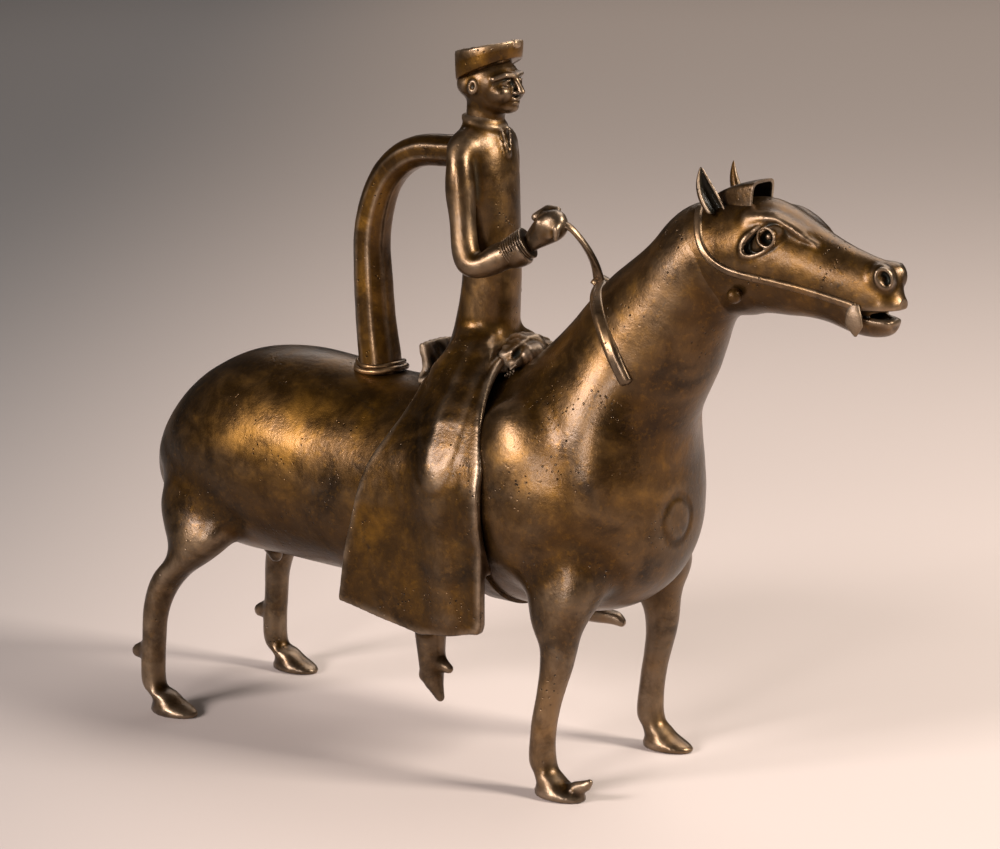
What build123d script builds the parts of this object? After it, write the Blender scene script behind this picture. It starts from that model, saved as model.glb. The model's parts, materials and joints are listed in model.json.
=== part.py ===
from build123d import *
import math
import os

# A hollow cast-bronze water ewer in the form of a rider on a horse. Millimetres, +Z up, the horse
# looks along +X and its right side is -Y. Every x below is measured from the rider's axis, and the
# whole figure is moved by figure_shift at the end, so that its box is centred on the origin and its
# hooves, which stand at sole_z, come to rest at zero.
figure_shift = -12.0
sole_z = 2.4

# Casting: wall thicknesses, and how far straps stand proud
wall = 3.0
head_wall = 2.6
torso_wall = 2.6
strap_proud = 1.8
fill_bore = 9.0

# Barrel and rump
rump_rear = -190.5
rump_depth = 78.0
rump_top = 180.5
rump_floor = 79.5
rump_pole_drop = 12.0
rump_half_width = 48.5
back_x = -40.0
back_top = 175.0
belly_floor = 76.0
barrel_half_width = 47.5

# Withers, chest and neck: x and z of the upper line, and of the chest or throat below it
withers = (26.0, 191.0)
brisket = (78.0, 82.0)
shoulder_half_width = 50.0
neck_base_top = (50.0, 211.0)
breast = (105.5, 111.0)
neck_base_half_width = 43.0
neck_mid_top = (72.0, 234.0)
throat_mid = (107.2, 164.0)
neck_mid_half_width = 30.0
poll = (113.0, 268.5)
throat = (133.0, 220.0)
poll_half_width = 19.5

# Horse's head: x and z of its upper and lower line, and the half width there
brow_top = (146.0, 273.5)
cheek_floor = (150.0, 225.0)
cheek_half_width = 19.5
face_top = (174.0, 264.0)
face_floor = (171.0, 224.5)
face_half_width = 14.5
nose_top = (199.0, 253.0)
nose_floor = (193.0, 219.0)
nose_half_width = 10.5
muzzle_top = (214.5, 245.0)
muzzle_floor = (208.0, 220.0)
muzzle_half_width = 8.5
mouth_height = 2.6
mouth_z = 225.5
mouth_back = 190.0
chin_front = 205.0
chin_depth = 30.0
head_cavity_end = 14.0

# Ears, and the pouring spout between them
ear_x = 129.0
ear_y = 12.0
ear_foot_z = 265.0
ear_tip_z = 284.8
ear_radius = 5.5
spout_back = 122.0
spout_front = 145.0
spout_floor = 273.5
spout_half_width = 8.0
spout_height = 7.0
spout_wall = 1.5
spout_bore = 7.0
spout_bore_x = 131.0

# Legs
hoof_fore_x = 72.0
hoof_hind_x = -153.0
fore_stance = 44.5
hind_stance = 46.5
hoof_length = 27.0
hoof_width = 17.0
hoof_height = 8.0
cannon_radius = 6.0
spur_thickness = 4.0

# Rider
hip_radius = 16.0
waist_radius = 13.4
chest_depth = 12.2
chest_half_width = 16.0
seat_z = 184.0
hip_z = 196.0
waist_z = 228.0
chest_z = 266.0
shoulder_z = 288.0
neck_radius = 8.6
head_depth = 14.8
head_half_width = 12.4
head_base = 296.0
head_top = 327.0
nose_z = 310.0
nose_proud = 3.4
arm_radius = 6.2
cuff_radius = 7.6
fist_radius = 7.2
elbow_z = 235.0

# Round cap, open at the top
cap_x = 1.0
cap_radius = 15.4
cap_foot_z = 319.6
cap_foot_pitch = 22.0
cap_rim_z = 330.2
cap_pitch = 11.5
cap_wall = 1.8
cap_floor = 2.6
lug_width = 5.0
lug_rise = 2.2

# Robe over the rider's legs, and the feet that hang out of it
robe_proud = 6.5
robe_cloth = 4.0
hem_z = 70.0
robe_front = 34.5
pocket_z = 100.0
flank_z = 128.0
shin_radius = 6.6
foot_y = 43.0

# Saddle
saddle_proud = 3.2
saddle_half_width = 16.0
saddle_back = -29.0
saddle_front = 28.0
pommel_rise = 8.5
pommel_thickness = 8.0
cantle_rise = 17.0
cantle_half_width = 12.0
cantle_thickness = 4.5
skirt_proud = 4.0
girth_width = 12.0
girth_x = 21.0

# Handle
handle_x = -61.0
handle_foot_width = 20.0
handle_grip_width = 18.0
handle_arch_width = 14.8
handle_top_z = 281.0
collar_radius = 12.6
collar_proud = 4.5

# Reins, bridle and small parts
rein_radius = 1.9
strap_width = 5.5
bridle_width = 3.4
bit_radius = 2.0
stud_radius = 3.4
plug_radius = 10.0
plug_y = -4.0
plug_z = 127.0
boss_x = -125.0
boss_radius = 5.5


def oval(centre, up_axis, side_axis, half_up, half_side, low=0.0):
    """Closed oval face, drawn as two half curves that meet at its upper and lower points."""
    steps = 6
    shares = [step / steps for step in range(steps + 1)]
    curves = []
    for side in (1, -1):
        points = []
        for share in shares:
            turn = math.pi * share
            up = half_up * math.cos(turn)
            out = side * half_side * math.sin(turn) * (1 - low * math.cos(turn))
            points.append(centre + up_axis * up + side_axis * out)
        speeds = [math.pi * half_side * (1 - low), math.pi * half_side * (1 + low)]
        if side < 0:
            points = points[::-1]
            speeds = speeds[::-1]
        ends = [side_axis * (side * speeds[0]), side_axis * (-side * speeds[1])]
        curves.append(Edge.make_spline(points, tangents=ends, parameters=shares, scale=False))
    return make_face(curves)


def ring(top, bottom, half_width, grow=0.0, low=0.0):
    """Section across the horse, between the upper and the lower point of its middle plane."""
    upper, lower = Vector(top[0], 0, top[1]), Vector(bottom[0], 0, bottom[1])
    span = upper - lower
    return oval((upper + lower) * 0.5, span.normalized(), Vector(0, 1, 0), span.length / 2 + grow,
                half_width + grow, low)


def level(x, y, z, half_x, half_y):
    """Level oval section."""
    return oval(Vector(x, y, z), Vector(1, 0, 0), Vector(0, 1, 0), half_x, half_y)


def tube(points, radii, flat=1.0):
    """Limb through a string of points, as sections square to its route."""
    faces = []
    for index, point in enumerate(points):
        before = Vector(*points[max(index - 1, 0)])
        after = Vector(*points[min(index + 1, len(points) - 1)])
        along = (after - before).normalized()
        across = Vector(0, 1, 0) if abs(along.Y) < 0.9 else Vector(1, 0, 0)
        up_axis = across.cross(along).normalized()
        side_axis = along.cross(up_axis).normalized()
        faces.append(oval(Vector(*point), up_axis, side_axis, radii[index], radii[index] * flat))
    return loft(faces)


def mix(a, b, share):
    return tuple(p + (q - p) * share for p, q in zip(a, b))


def prism(outline, y_from, y_to):
    """Side outline, a list of x and z, carried straight across the horse."""
    face = make_face(Polyline(*[(x, y_from, z) for x, z in outline], close=True))
    return extrude(face, amount=y_to - y_from, dir=(0, 1, 0))


def block(x, y, z):
    """Box from three pairs of limits."""
    middle = Pos((x[0] + x[1]) / 2, (y[0] + y[1]) / 2, (z[0] + z[1]) / 2)
    return middle * Box(x[1] - x[0], y[1] - y[0], z[1] - z[0])


def biggest(shape):
    """The main solid of a cut, without the crumbs that a trim leaves behind."""
    return sorted(shape.solids(), key=lambda solid: solid.volume)[-1]


def rump_rings(grow):
    """Rounded hind end of the barrel, drooping a little towards its rearmost point."""
    middle = (rump_top + rump_floor) / 2
    faces = []
    for share in (0.015, 0.07, 0.18, 0.36, 0.62):
        size = math.sqrt(1 - (1 - share) ** 2)
        x = rump_rear - grow + (rump_depth + grow) * share
        half_height = ((rump_top - rump_floor) / 2 + grow) * size
        centre = middle - rump_pole_drop * (1 - share) ** 2
        faces.append(ring((x, centre + half_height), (x, centre - half_height),
                          (rump_half_width + grow) * size))
    return faces


def trunk_solid(grow, past=0.0):
    """Barrel and neck in one skin, grown outwards or shrunk; past carries the neck's end on."""
    full = rump_rear + rump_depth
    spine, keel = (full, rump_top), (full, rump_floor)
    dip, belly = (back_x, back_top), (back_x, belly_floor)
    faces = rump_rings(grow)
    faces.append(ring(spine, keel, rump_half_width, grow))
    faces.append(ring(mix(spine, dip, 0.5), mix(keel, belly, 0.5), barrel_half_width, grow))
    faces.append(ring(dip, belly, barrel_half_width, grow))
    faces.append(ring(mix(dip, withers, 0.62), mix(belly, brisket, 0.45), barrel_half_width + 1, grow))
    faces.append(ring(withers, brisket, shoulder_half_width, grow, 0.05))
    faces.append(ring(neck_base_top, breast, neck_base_half_width, grow, 0.12))
    faces.append(ring(neck_mid_top, throat_mid, neck_mid_half_width, grow, 0.1))
    faces.append(ring(mix(neck_mid_top, poll, 0.5), mix(throat_mid, throat, 0.55),
                      mix((neck_mid_half_width,), (poll_half_width,), 0.55)[0], grow))
    faces.append(ring((poll[0] + past, poll[1] + past * 0.4), (throat[0] + past, throat[1] + past * 0.4),
                      poll_half_width, grow))
    return loft(faces)


def head_solid(grow, past=0.0):
    """Horse's head from the poll to the muzzle; past carries both ends on or, below zero, draws them in."""
    faces = [ring((poll[0] - abs(past), poll[1] - abs(past) * 0.4),
                  (throat[0] - abs(past), throat[1] - abs(past) * 0.4), poll_half_width, grow)]
    faces.append(ring(mix(poll, brow_top, 0.45), mix(throat, cheek_floor, 0.5),
                      (poll_half_width + cheek_half_width) / 2, grow))
    faces.append(ring(brow_top, cheek_floor, cheek_half_width, grow))
    faces.append(ring(face_top, face_floor, face_half_width, grow))
    faces.append(ring(nose_top, nose_floor, nose_half_width, grow))
    faces.append(ring((muzzle_top[0] + past, muzzle_top[1]), (muzzle_floor[0] + past, muzzle_floor[1]),
                      muzzle_half_width, grow))
    return loft(faces)


def band(course, width):
    """Side outline of a strap of one width along a course of x and z."""
    upper, lower = [], []
    for index, (x, z) in enumerate(course):
        ahead = course[min(index + 1, len(course) - 1)]
        behind = course[max(index - 1, 0)]
        dx, dz = ahead[0] - behind[0], ahead[1] - behind[1]
        length = math.hypot(dx, dz)
        upper.append((x - dz / length * width / 2, z + dx / length * width / 2))
        lower.append((x + dz / length * width / 2, z - dx / length * width / 2))
    return upper + lower[::-1]


def upright(x, y, radius, z_from, z_to):
    """Upright cylinder."""
    return Pos(x, y, (z_from + z_to) / 2) * Cylinder(radius, z_to - z_from)


def spout_solid(grow, front):
    """Scoop between the ears, open at its front."""
    faces = []
    for x, rise, width in ((spout_back, 0.35, 0.45), ((spout_back + spout_front) / 2, 0.85, 0.9),
                           (front, 1.0, 1.0)):
        faces.append(oval(Vector(x - grow, 0, spout_floor + 1), Vector(0, 0, 1), Vector(0, 1, 0),
                          (spout_height - 1 + spout_wall) * rise + grow,
                          (spout_half_width + spout_wall) * width + grow))
    return loft(faces)


def ear_solid():
    """Pricked ear, a flattened cone."""
    middle_z = (ear_foot_z + ear_tip_z) / 2 + 3
    points = [(ear_x + 2, ear_y, ear_foot_z - 4), (ear_x + 1, ear_y, ear_foot_z + 5),
              (ear_x - 1.5, ear_y + 0.5, middle_z), (ear_x - 4.5, ear_y + 0.8, ear_tip_z)]
    return tube(points, [ear_radius, ear_radius, ear_radius * 0.8, 0.6], 0.5)


def torso_solid(grow, past=0.0):
    """Rider's body from the seat to the top of the neck; past carries both ends on."""
    courses = ((seat_z - 8 - past, -1.0, hip_radius + 5, hip_radius + 2),
               (seat_z + 4, -1.5, hip_radius + 2, hip_radius + 1),
               (hip_z, -1.0, hip_radius, hip_radius - 0.5),
               (hip_z + 14, 1.0, (hip_radius + waist_radius) / 2 - 0.5, waist_radius + 1),
               (waist_z, 2.6, waist_radius - 0.3, waist_radius + 0.3),
               ((waist_z + chest_z) / 2, 2.6, chest_depth, (waist_radius + chest_half_width) / 2),
               (chest_z, 1.6, chest_depth, chest_half_width),
               (shoulder_z - 7, 0.0, chest_depth - 0.6, chest_half_width + 0.3),
               (shoulder_z, -1.2, chest_depth - 1.8, chest_half_width - 2.5),
               (shoulder_z + 4, -1.6, neck_radius + 0.2, neck_radius + 1),
               (head_base + past, -1.2, neck_radius, neck_radius))
    return loft([level(x, 0, z, deep + grow, wide + grow) for z, x, deep, wide in courses])


def face_solid(grow, past=0.0):
    """Rider's head above the neck."""
    courses = ((head_base - past, -1.2, neck_radius, neck_radius),
               (head_base + 4, 0.8, head_depth * 0.76, head_half_width * 0.8),
               (head_base + 8, 2.0, head_depth * 0.94, head_half_width * 0.93),
               (head_base + 14, 2.0, head_depth, head_half_width),
               (head_base + 22, 1.2, head_depth * 0.98, head_half_width * 1.02),
               (head_top, 1.0, head_depth * 0.9, head_half_width * 0.95))
    return loft([level(x, 0, z, deep + grow, wide + grow) for z, x, deep, wide in courses])


def cap_solid(grow, raised=0.0, past=0.0):
    """Flat round cap: its lower edge slopes more steeply to the front than its rim."""
    faces = []
    for z, pitch, radius in ((cap_foot_z + raised, cap_foot_pitch, cap_radius - 0.6),
                             (cap_rim_z + past, cap_pitch, cap_radius)):
        turn = math.radians(pitch)
        faces.append(oval(Vector(cap_x, 0, z), Vector(math.cos(turn), 0, math.sin(turn)), Vector(0, 1, 0),
                          (radius + grow) / math.cos(turn), radius + grow))
    return loft(faces)


def bent_arm():
    """Sleeve of the arm that holds the rein."""
    points = [(-3, 11, shoulder_z), (-2.4, 18, shoulder_z - 6), (-0.6, 20.3, shoulder_z - 15), (1, 21.3, 260),
              (3.6, 23, elbow_z + 11), (8.5, 24, elbow_z), (17, 23, elbow_z + 0.8), (26, 20.5, elbow_z + 5.2),
              (34, 18.2, elbow_z + 9.2)]
    radii = [arm_radius - 1.4, arm_radius - 0.4, arm_radius + 0.2, arm_radius, arm_radius - 0.2, arm_radius,
             arm_radius - 0.2, arm_radius, cuff_radius]
    return tube(points, radii)


def hanging_arm():
    """Sleeve of the other arm, beside the body."""
    points = [(-3, 11, shoulder_z), (-2.6, 18, shoulder_z - 6), (-4, 19.8, shoulder_z - 15), (-6, 20.5, 260),
              (-8.5, 21, elbow_z + 7), (-7.5, 21.5, elbow_z - 9), (-5, 21.8, elbow_z - 22)]
    radii = [arm_radius - 1.4, arm_radius - 0.4, arm_radius + 0.2, arm_radius, arm_radius - 0.2, arm_radius,
             cuff_radius]
    return tube(points, radii)


def fist():
    """Hand closed on the rein."""
    points = [(30, 19.4, elbow_z + 7.2), (36.5, 17.2, elbow_z + 11.4), (42, 15.6, elbow_z + 16.2),
              (47.5, 14.6, elbow_z + 19.4), (52, 14, elbow_z + 21)]
    return tube(points, [4.2, 4.4, fist_radius - 0.8, fist_radius - 0.8, 3.4], 0.8)


def open_hand():
    """Hand laid on the thigh."""
    points = [(-5.8, 21.7, elbow_z - 18), (-4.6, 21.9, elbow_z - 25), (-3.4, 22.2, elbow_z - 33),
              (-2.2, 22.6, elbow_z - 42)]
    return tube(points, [4.2, 4.4, fist_radius - 1.8, 3.2], 0.8)


def robe_solid():
    """Skirt of the rider's robe over the left leg: laid on the barrel, then hanging straight down."""
    outline = [(-4, 199), (-16, 184), (-20, 168), (-24, 156), (-30.5, 142), (-37, 120), (-42, 100),
               (-45.2, hem_z + 8), (0.7, hem_z - 1), (robe_front - 1.6, hem_z + 4), (robe_front, hem_z + 8),
               (robe_front, 166), (26.5, 174), (23.5, 183), (20, 192), (12, 199)]
    cutter = prism(outline, 0, 90)
    cloth = block((-80, 80), (0, flank_y), (pocket_z, flank_z))
    hanging = block((-80, 80), (flank_y - robe_cloth, flank_y), (hem_z - 25, pocket_z + 1))
    thigh = tube([(0, 8, hip_z - 2), (2, 26, hip_z - 12), (8, 42, hip_z - 34), (12, 45, hip_z - 64)],
                 [15, 16.5, 14.5, 9])
    upper = robe_trunk & block((-80, 80), (0, 90), (pocket_z, 220))
    return (upper & cutter) + (cloth & cutter) + (hanging & cutter) + (thigh & cutter)


def handle_solid():
    """Eight-sided bar that rises from the back and bends over to the rider's shoulders."""
    course = [(handle_x, back_top - 12, handle_foot_width), (handle_x - 0.8, back_top + 4, handle_foot_width),
              (handle_x - 2.7, back_top + 18.5, handle_grip_width + 1),
              (handle_x - 4.8, back_top + 46.7, handle_grip_width),
              (handle_x - 5.0, handle_top_z - 43, handle_grip_width - 0.8),
              (handle_x - 2.1, handle_top_z - 28.5, handle_grip_width - 1.6),
              (handle_x + 3.8, handle_top_z - 15.4, handle_grip_width - 2.4),
              (handle_x + 12.6, handle_top_z - 6.4, handle_arch_width + 0.3),
              (handle_x + 23, handle_top_z - 1.4, handle_arch_width),
              (handle_x + 36.1, handle_top_z, handle_arch_width),
              (handle_x + 52, handle_top_z + 0.4, handle_arch_width)]
    faces = []
    for index, (x, z, width) in enumerate(course):
        ahead = course[min(index + 1, len(course) - 1)]
        behind = course[max(index - 1, 0)]
        plane = Plane(origin=(x, 0, z), x_dir=(0, 1, 0),
                      z_dir=(ahead[0] - behind[0], 0, ahead[1] - behind[1]))
        faces.append(plane * Rot(0, 0, 22.5) * RegularPolygon(width / 2, 8, major_radius=False))
    return loft(faces)


# Skins and bores that several pieces share

flank_y = barrel_half_width + robe_proud
trunk_skin = trunk_solid(0)
trunk_shell = trunk_skin - trunk_solid(-wall, wall + 1)
head_skin = head_solid(0)
saddle_skin = trunk_solid(saddle_proud)
strap_trunk = trunk_solid(strap_proud)
strap_head = head_solid(strap_proud)
robe_trunk = trunk_solid(robe_proud)
torso_skin = torso_solid(0)
cap_skin = cap_solid(0)
cap_bowl = cap_solid(-cap_wall, cap_floor, 5)
hood_skin = spout_solid(0, spout_front)
ear_skin = ear_solid()
bent_skin, hanging_skin, fist_skin = bent_arm(), hanging_arm(), fist()
handle_skin = handle_solid()
water_well = upright(0, 0, fill_bore / 2, seat_z - 30, seat_z + 10)
cap_well = upright(0.5, 0, fill_bore / 2, head_base + 8, cap_rim_z + 10)
spout_well = upright(spout_bore_x, 0, spout_bore / 2, spout_floor - 16, spout_floor + 1)
chest_seat = Pos(breast[0] - 10, plug_y, plug_z) * Rot(0, 90, 0) * Cylinder(plug_radius, 50)
robe_skin = robe_solid()


def horse_body():
    return biggest(trunk_shell - water_well - chest_seat)


def chest_plug():
    """Patch where the casting core was held, flush in the chest."""
    return biggest(trunk_shell & chest_seat)


def horse_head():
    mouth = prism([(mouth_back, mouth_z - 0.4), (mouth_back, mouth_z + 0.4),
                   (muzzle_floor[0] - 2, mouth_z + mouth_height), (muzzle_top[0] + 20, mouth_z + mouth_height),
                   (muzzle_top[0] + 20, mouth_z - chin_depth), (chin_front, mouth_z - chin_depth),
                   (chin_front, mouth_z - 0.6)], -chin_depth, chin_depth)
    return biggest(head_skin - head_solid(-head_wall, -head_cavity_end) - mouth - spout_well)


def spout_hood():
    shell = hood_skin - spout_solid(-spout_wall, spout_front + 4)
    return biggest(shell - head_skin - trunk_skin)


def ear():
    return biggest(ear_skin - head_skin - trunk_skin - hood_skin)


def leg(hoof_x, stance, course, spur):
    """Left leg and hoof. Course: height, x from the hoof's middle, half length, half width and how far
    the outer side is drawn in, from inside the barrel down to the fetlock."""
    outer = stance + cannon_radius
    limb = loft([level(hoof_x + ahead, outer - drawn_in - half_y, z, half_x, half_y)
                 for z, ahead, half_x, half_y, drawn_in in course])
    neck_x = hoof_x + course[-1][1]
    hoof = loft([level(neck_x, stance, sole_z + hoof_height + 3, cannon_radius, cannon_radius),
                 level(hoof_x - hoof_length * 0.19, stance, sole_z + hoof_height, hoof_length * 0.28,
                       hoof_width * 0.41),
                 level(hoof_x - hoof_length * 0.05, stance, sole_z + hoof_height / 2, hoof_length * 0.42,
                       hoof_width * 0.47),
                 level(hoof_x, stance, sole_z + 0.8, hoof_length / 2, hoof_width / 2),
                 level(hoof_x, stance, sole_z, hoof_length / 2 - 0.3, hoof_width / 2 - 0.3)])
    tip_x, tip_z, root_x, half_root = spur
    half_spur = spur_thickness / 2
    spike = prism([(hoof_x + tip_x, tip_z), (hoof_x + root_x, tip_z + half_root),
                   (hoof_x + root_x, tip_z - half_root)], stance - half_spur, stance + half_spur)
    return biggest((limb + hoof + spike) - trunk_skin)


def fore_leg():
    thin = cannon_radius
    course = [(134, -12, 12, 8, 16), (118, -7, 18, 13, 7), (104, -4, 20, 15, 2.5),
              (94, -3.6, 18.5, 13.5, 0.5), (86, -4.2, 15.2, 11.5, 0), (79, -4.4, 12, 9.8, 0),
              (72, -3.2, 9, 8.6, 0), (63, -3.4, 7.7, 7.4, 0), (54, -5, thin + 0.8, thin + 0.6, 0),
              (38, -8.5, thin, thin, 0), (27, -9.9, thin, thin, 0), (19, -10, thin + 0.4, thin + 0.2, 0),
              (12.5, -7, thin, thin, 0)]
    return leg(hoof_fore_x, fore_stance, course, (-17.6, 17, -10, 4.5))


def hind_leg():
    thin = cannon_radius
    course = [(136, 8, 20, 8, 18), (121, 7.5, 24.5, 12.5, 9.5), (106, 8.5, 25, 15, 4.5),
              (96, 10, 21.5, 14, 2.5), (88, 10.5, 16.5, 12.5, 1.2), (80, 6.5, 11.6, 10.6, 0.5),
              (72, -1.6, 9.2, 8.8, 0),
              (63, -7.4, 7.7, 7.4, 0), (53, -10.6, thin + 0.5, thin + 0.4, 0), (37, -12.2, thin - 0.2, thin, 0),
              (19, -13, thin + 0.2, thin, 0), (12.5, -10.3, thin, thin, 0)]
    return leg(hoof_hind_x, hind_stance, course, (-24.5, 31.5, -14, 5.0))


def rider_torso():
    """Hollow, so that water poured into the cap runs down into the horse."""
    return biggest(torso_skin - torso_solid(-torso_wall, 3) - saddle_skin)


def rider_head():
    nose = prism([(head_depth, nose_z + 4.5), (head_depth + nose_proud + 1.4, nose_z - 1),
                  (head_depth, nose_z - 2.5)], -1.7, 1.7)
    return biggest((face_solid(0) + nose) - face_solid(-torso_wall, 2) - cap_skin - cap_well)


def rider_cap():
    """Open bowl that water is poured into, with a hole in its floor."""
    return biggest(cap_skin - cap_bowl - cap_well)


def cap_hinge_lug():
    """Stump of the hinge of a lost lid, on the front of the rim."""
    x = cap_x + cap_radius
    z = cap_rim_z + cap_radius * math.tan(math.radians(cap_pitch))
    lug = block((x - 4.2, x + 0.6), (-lug_width / 2, lug_width / 2), (z - 2.5, z + lug_rise))
    return biggest(lug - cap_skin - cap_bowl)


def robe():
    return biggest(robe_skin - trunk_skin - torso_skin - saddle_skin)


def foot(points):
    """Lower leg and foot, out of the left robe."""
    radii = [shin_radius + 0.4, shin_radius + 0.3, shin_radius, shin_radius - 0.8, shin_radius - 1.6,
             shin_radius - 2.6, 1.8]
    return biggest(tube([(x, foot_y, z) for x, z in points], radii) - robe_skin - trunk_skin)


def saddle_seat():
    limits = block((saddle_back, saddle_front), (-saddle_half_width, saddle_half_width), (120, 240))
    slab = saddle_skin & limits
    return biggest(slab - trunk_skin - water_well)


def saddle_board(x, thickness, half_width, lean, rise):
    """Arched board across the saddle, leaning by a few degrees."""
    plate = Pos(x, 0, back_top) * Rot(0, lean, 0) * Box(thickness, 2 * half_width, 90)
    board = (trunk_solid(rise) & plate) - saddle_skin - torso_skin
    return biggest(board - robe_skin - mirror(robe_skin, about=Plane.XZ))


def saddle_skirt():
    """Rough strip between the shoulder and the front of the thigh."""
    outline = [(24, 197), (33, 194), (38, 168), (40, 150), (30, 150), (22, 176)]
    strip = trunk_solid(skirt_proud) & prism(outline, saddle_half_width, 90)
    return biggest(strip - trunk_skin - robe_skin)


def girth():
    """Strap under the belly, from one robe to the other."""
    half_width = girth_width / 2
    slab = strap_trunk & block((girth_x - half_width, girth_x + half_width), (-90, 90), (40, pocket_z))
    return biggest(slab - trunk_skin)


def handle():
    return biggest(handle_skin - trunk_skin - torso_skin)


def handle_collar():
    """Crude stacked rings round the foot of the handle."""
    lower = trunk_solid(collar_proud * 0.5) & upright(handle_x - 0.5, 0, collar_radius, 120, 220)
    upper = trunk_solid(collar_proud) & upright(handle_x - 0.5, 0, collar_radius - 1.3, 120, 220)
    return biggest((lower + upper) - trunk_skin - handle_skin)


def rein():
    """From the rider's fist down to the crest of the neck."""
    points = [(48, -14.4, elbow_z + 20), (52, -13.6, elbow_z + 19.4), (56.5, -10.5, elbow_z + 14.5),
              (60, -6.5, elbow_z + 6.7), (61.8, -3, elbow_z - 1.4), (62, -0.8, elbow_z - 9),
              (62, -0.5, elbow_z - 15)]
    strand = tube(points, [rein_radius] * len(points))
    return biggest(strand - mirror(fist_skin, about=Plane.XZ) - strap_trunk)


def neck_rein():
    """Strap laid on the side of the neck, from the crest to its squared end."""
    course = [(60, 229), (70, 224.5), (78, 217), (84, 209.5), (89.7, 200.5), (95.5, 190.5)]
    return biggest((strap_trunk & prism(band(course, strap_width), 0, 90)) - trunk_skin)


def bridle():
    """Strap from the poll round the cheek to the mouth."""
    course = [(122.5, 268), (123.5, 258), (128.5, 249), (136, 243), (147, 239.6), (165, 237.5), (184, 235),
              (200, 232.6)]
    strip = strap_head & prism(band(course, bridle_width), 0, 60)
    return biggest(strip - head_skin - ear_skin)


bridle_left = bridle()


def bit():
    """Cheek piece of the bit, beside the mouth."""
    course = [(200.5, 8, 236), (200.8, 8.6, 230), (201.4, 8.2, 223.5), (201.6, 7.4, 220.5)]
    piece = tube([(x, y + 2.2, z) for x, y, z in course], [1.4, bit_radius, bit_radius, 1.2])
    return biggest(piece - head_skin - bridle_left)


def jaw_stud():
    """Small stump on the jaw, below the bridle."""
    stud = Pos(143, cheek_half_width - 0.6, 233) * Sphere(stud_radius)
    return biggest(stud - head_skin - bridle_left)


def belly_boss():
    return biggest(Pos(boss_x, 0, rump_floor - 0.5) * Sphere(boss_radius) - trunk_skin)


pieces = {"horse_body": horse_body(), "horse_head": horse_head(), "chest_plug": chest_plug(),
          "spout_hood": spout_hood(), "belly_boss": belly_boss(), "rider_torso": rider_torso(),
          "rider_head": rider_head(), "rider_cap": rider_cap(), "cap_hinge_lug": cap_hinge_lug(),
          "saddle_seat": saddle_seat(), "girth_strap": girth(),
          "saddle_pommel": saddle_board(17, pommel_thickness, saddle_half_width, 12, pommel_rise),
          "saddle_cantle": saddle_board(-26, cantle_thickness, cantle_half_width, -10, cantle_rise),
          "handle": handle(), "handle_collar": handle_collar(), "hand_rein": rein()}
pieces["rider_arm_left"] = biggest(hanging_skin - torso_skin)
pieces["rider_hand_left"] = biggest(open_hand() - hanging_skin - torso_skin - robe_skin)
pieces["rider_foot_left"] = foot([(-4, pocket_z + 4), (0, 84), (7, 72), (17, 65), (29, 62.5), (40, 62),
                                  (48, 59)])
pairs = {"ear": ear(), "fore_leg": fore_leg(), "hind_leg": hind_leg(), "rider_robe": robe(),
         "saddle_skirt": saddle_skirt(), "neck_rein": neck_rein(), "bridle": bridle_left,
         "bit_cheek": bit(), "jaw_stud": jaw_stud()}
for name, solid in pairs.items():
    pieces[name + "_left"] = solid
    pieces[name + "_right"] = mirror(solid, about=Plane.XZ)

# The right arm holds the rein and the right foot points down: drawn on the left and mirrored
right_only = {"rider_arm_right": biggest(bent_skin - torso_skin),
              "rider_hand_right": biggest(fist_skin - bent_skin),
              "rider_foot_right": foot([(-4, pocket_z + 4), (-2, 84), (-1, 68), (0.4, 58), (1.2, 49),
                                        (2.2, 42), (6, 36)])}
for name, solid in right_only.items():
    pieces[name] = mirror(solid, about=Plane.XZ)

os.makedirs("parts", exist_ok=True)
for name, solid in pieces.items():
    export_step(Pos(figure_shift, 0, -sole_z) * solid, "parts/" + name + ".step")
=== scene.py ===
import json
import math
import bpy
import numpy as np
import openvdb
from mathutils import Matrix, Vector


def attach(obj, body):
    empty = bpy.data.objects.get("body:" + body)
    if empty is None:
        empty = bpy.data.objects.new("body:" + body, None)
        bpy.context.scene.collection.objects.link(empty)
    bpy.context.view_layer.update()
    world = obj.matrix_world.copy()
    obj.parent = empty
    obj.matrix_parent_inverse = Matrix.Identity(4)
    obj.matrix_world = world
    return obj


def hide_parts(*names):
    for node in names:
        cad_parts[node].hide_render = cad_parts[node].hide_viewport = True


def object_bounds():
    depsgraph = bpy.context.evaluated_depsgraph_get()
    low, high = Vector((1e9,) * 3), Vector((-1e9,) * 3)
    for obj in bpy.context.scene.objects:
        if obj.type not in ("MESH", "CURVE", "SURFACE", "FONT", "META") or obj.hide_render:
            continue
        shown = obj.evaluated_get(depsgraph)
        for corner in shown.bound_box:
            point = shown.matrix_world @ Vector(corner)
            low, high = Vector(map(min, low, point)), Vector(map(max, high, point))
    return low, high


# Bronze water ewer: a horse with its rider. Shapes are worked out in millimetres from the rider's
# axis, with the soles at 2.4, and moved into the row frame when a piece is made.
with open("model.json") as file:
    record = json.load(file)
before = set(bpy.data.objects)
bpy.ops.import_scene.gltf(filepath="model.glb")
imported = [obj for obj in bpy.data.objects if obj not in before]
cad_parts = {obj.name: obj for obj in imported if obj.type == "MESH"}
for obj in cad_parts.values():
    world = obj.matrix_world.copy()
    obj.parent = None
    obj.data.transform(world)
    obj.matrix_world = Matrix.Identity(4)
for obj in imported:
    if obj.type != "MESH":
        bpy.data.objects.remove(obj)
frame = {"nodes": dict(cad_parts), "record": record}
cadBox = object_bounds()
figureShift = np.array([-12.0, 0.0, -2.4])

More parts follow.
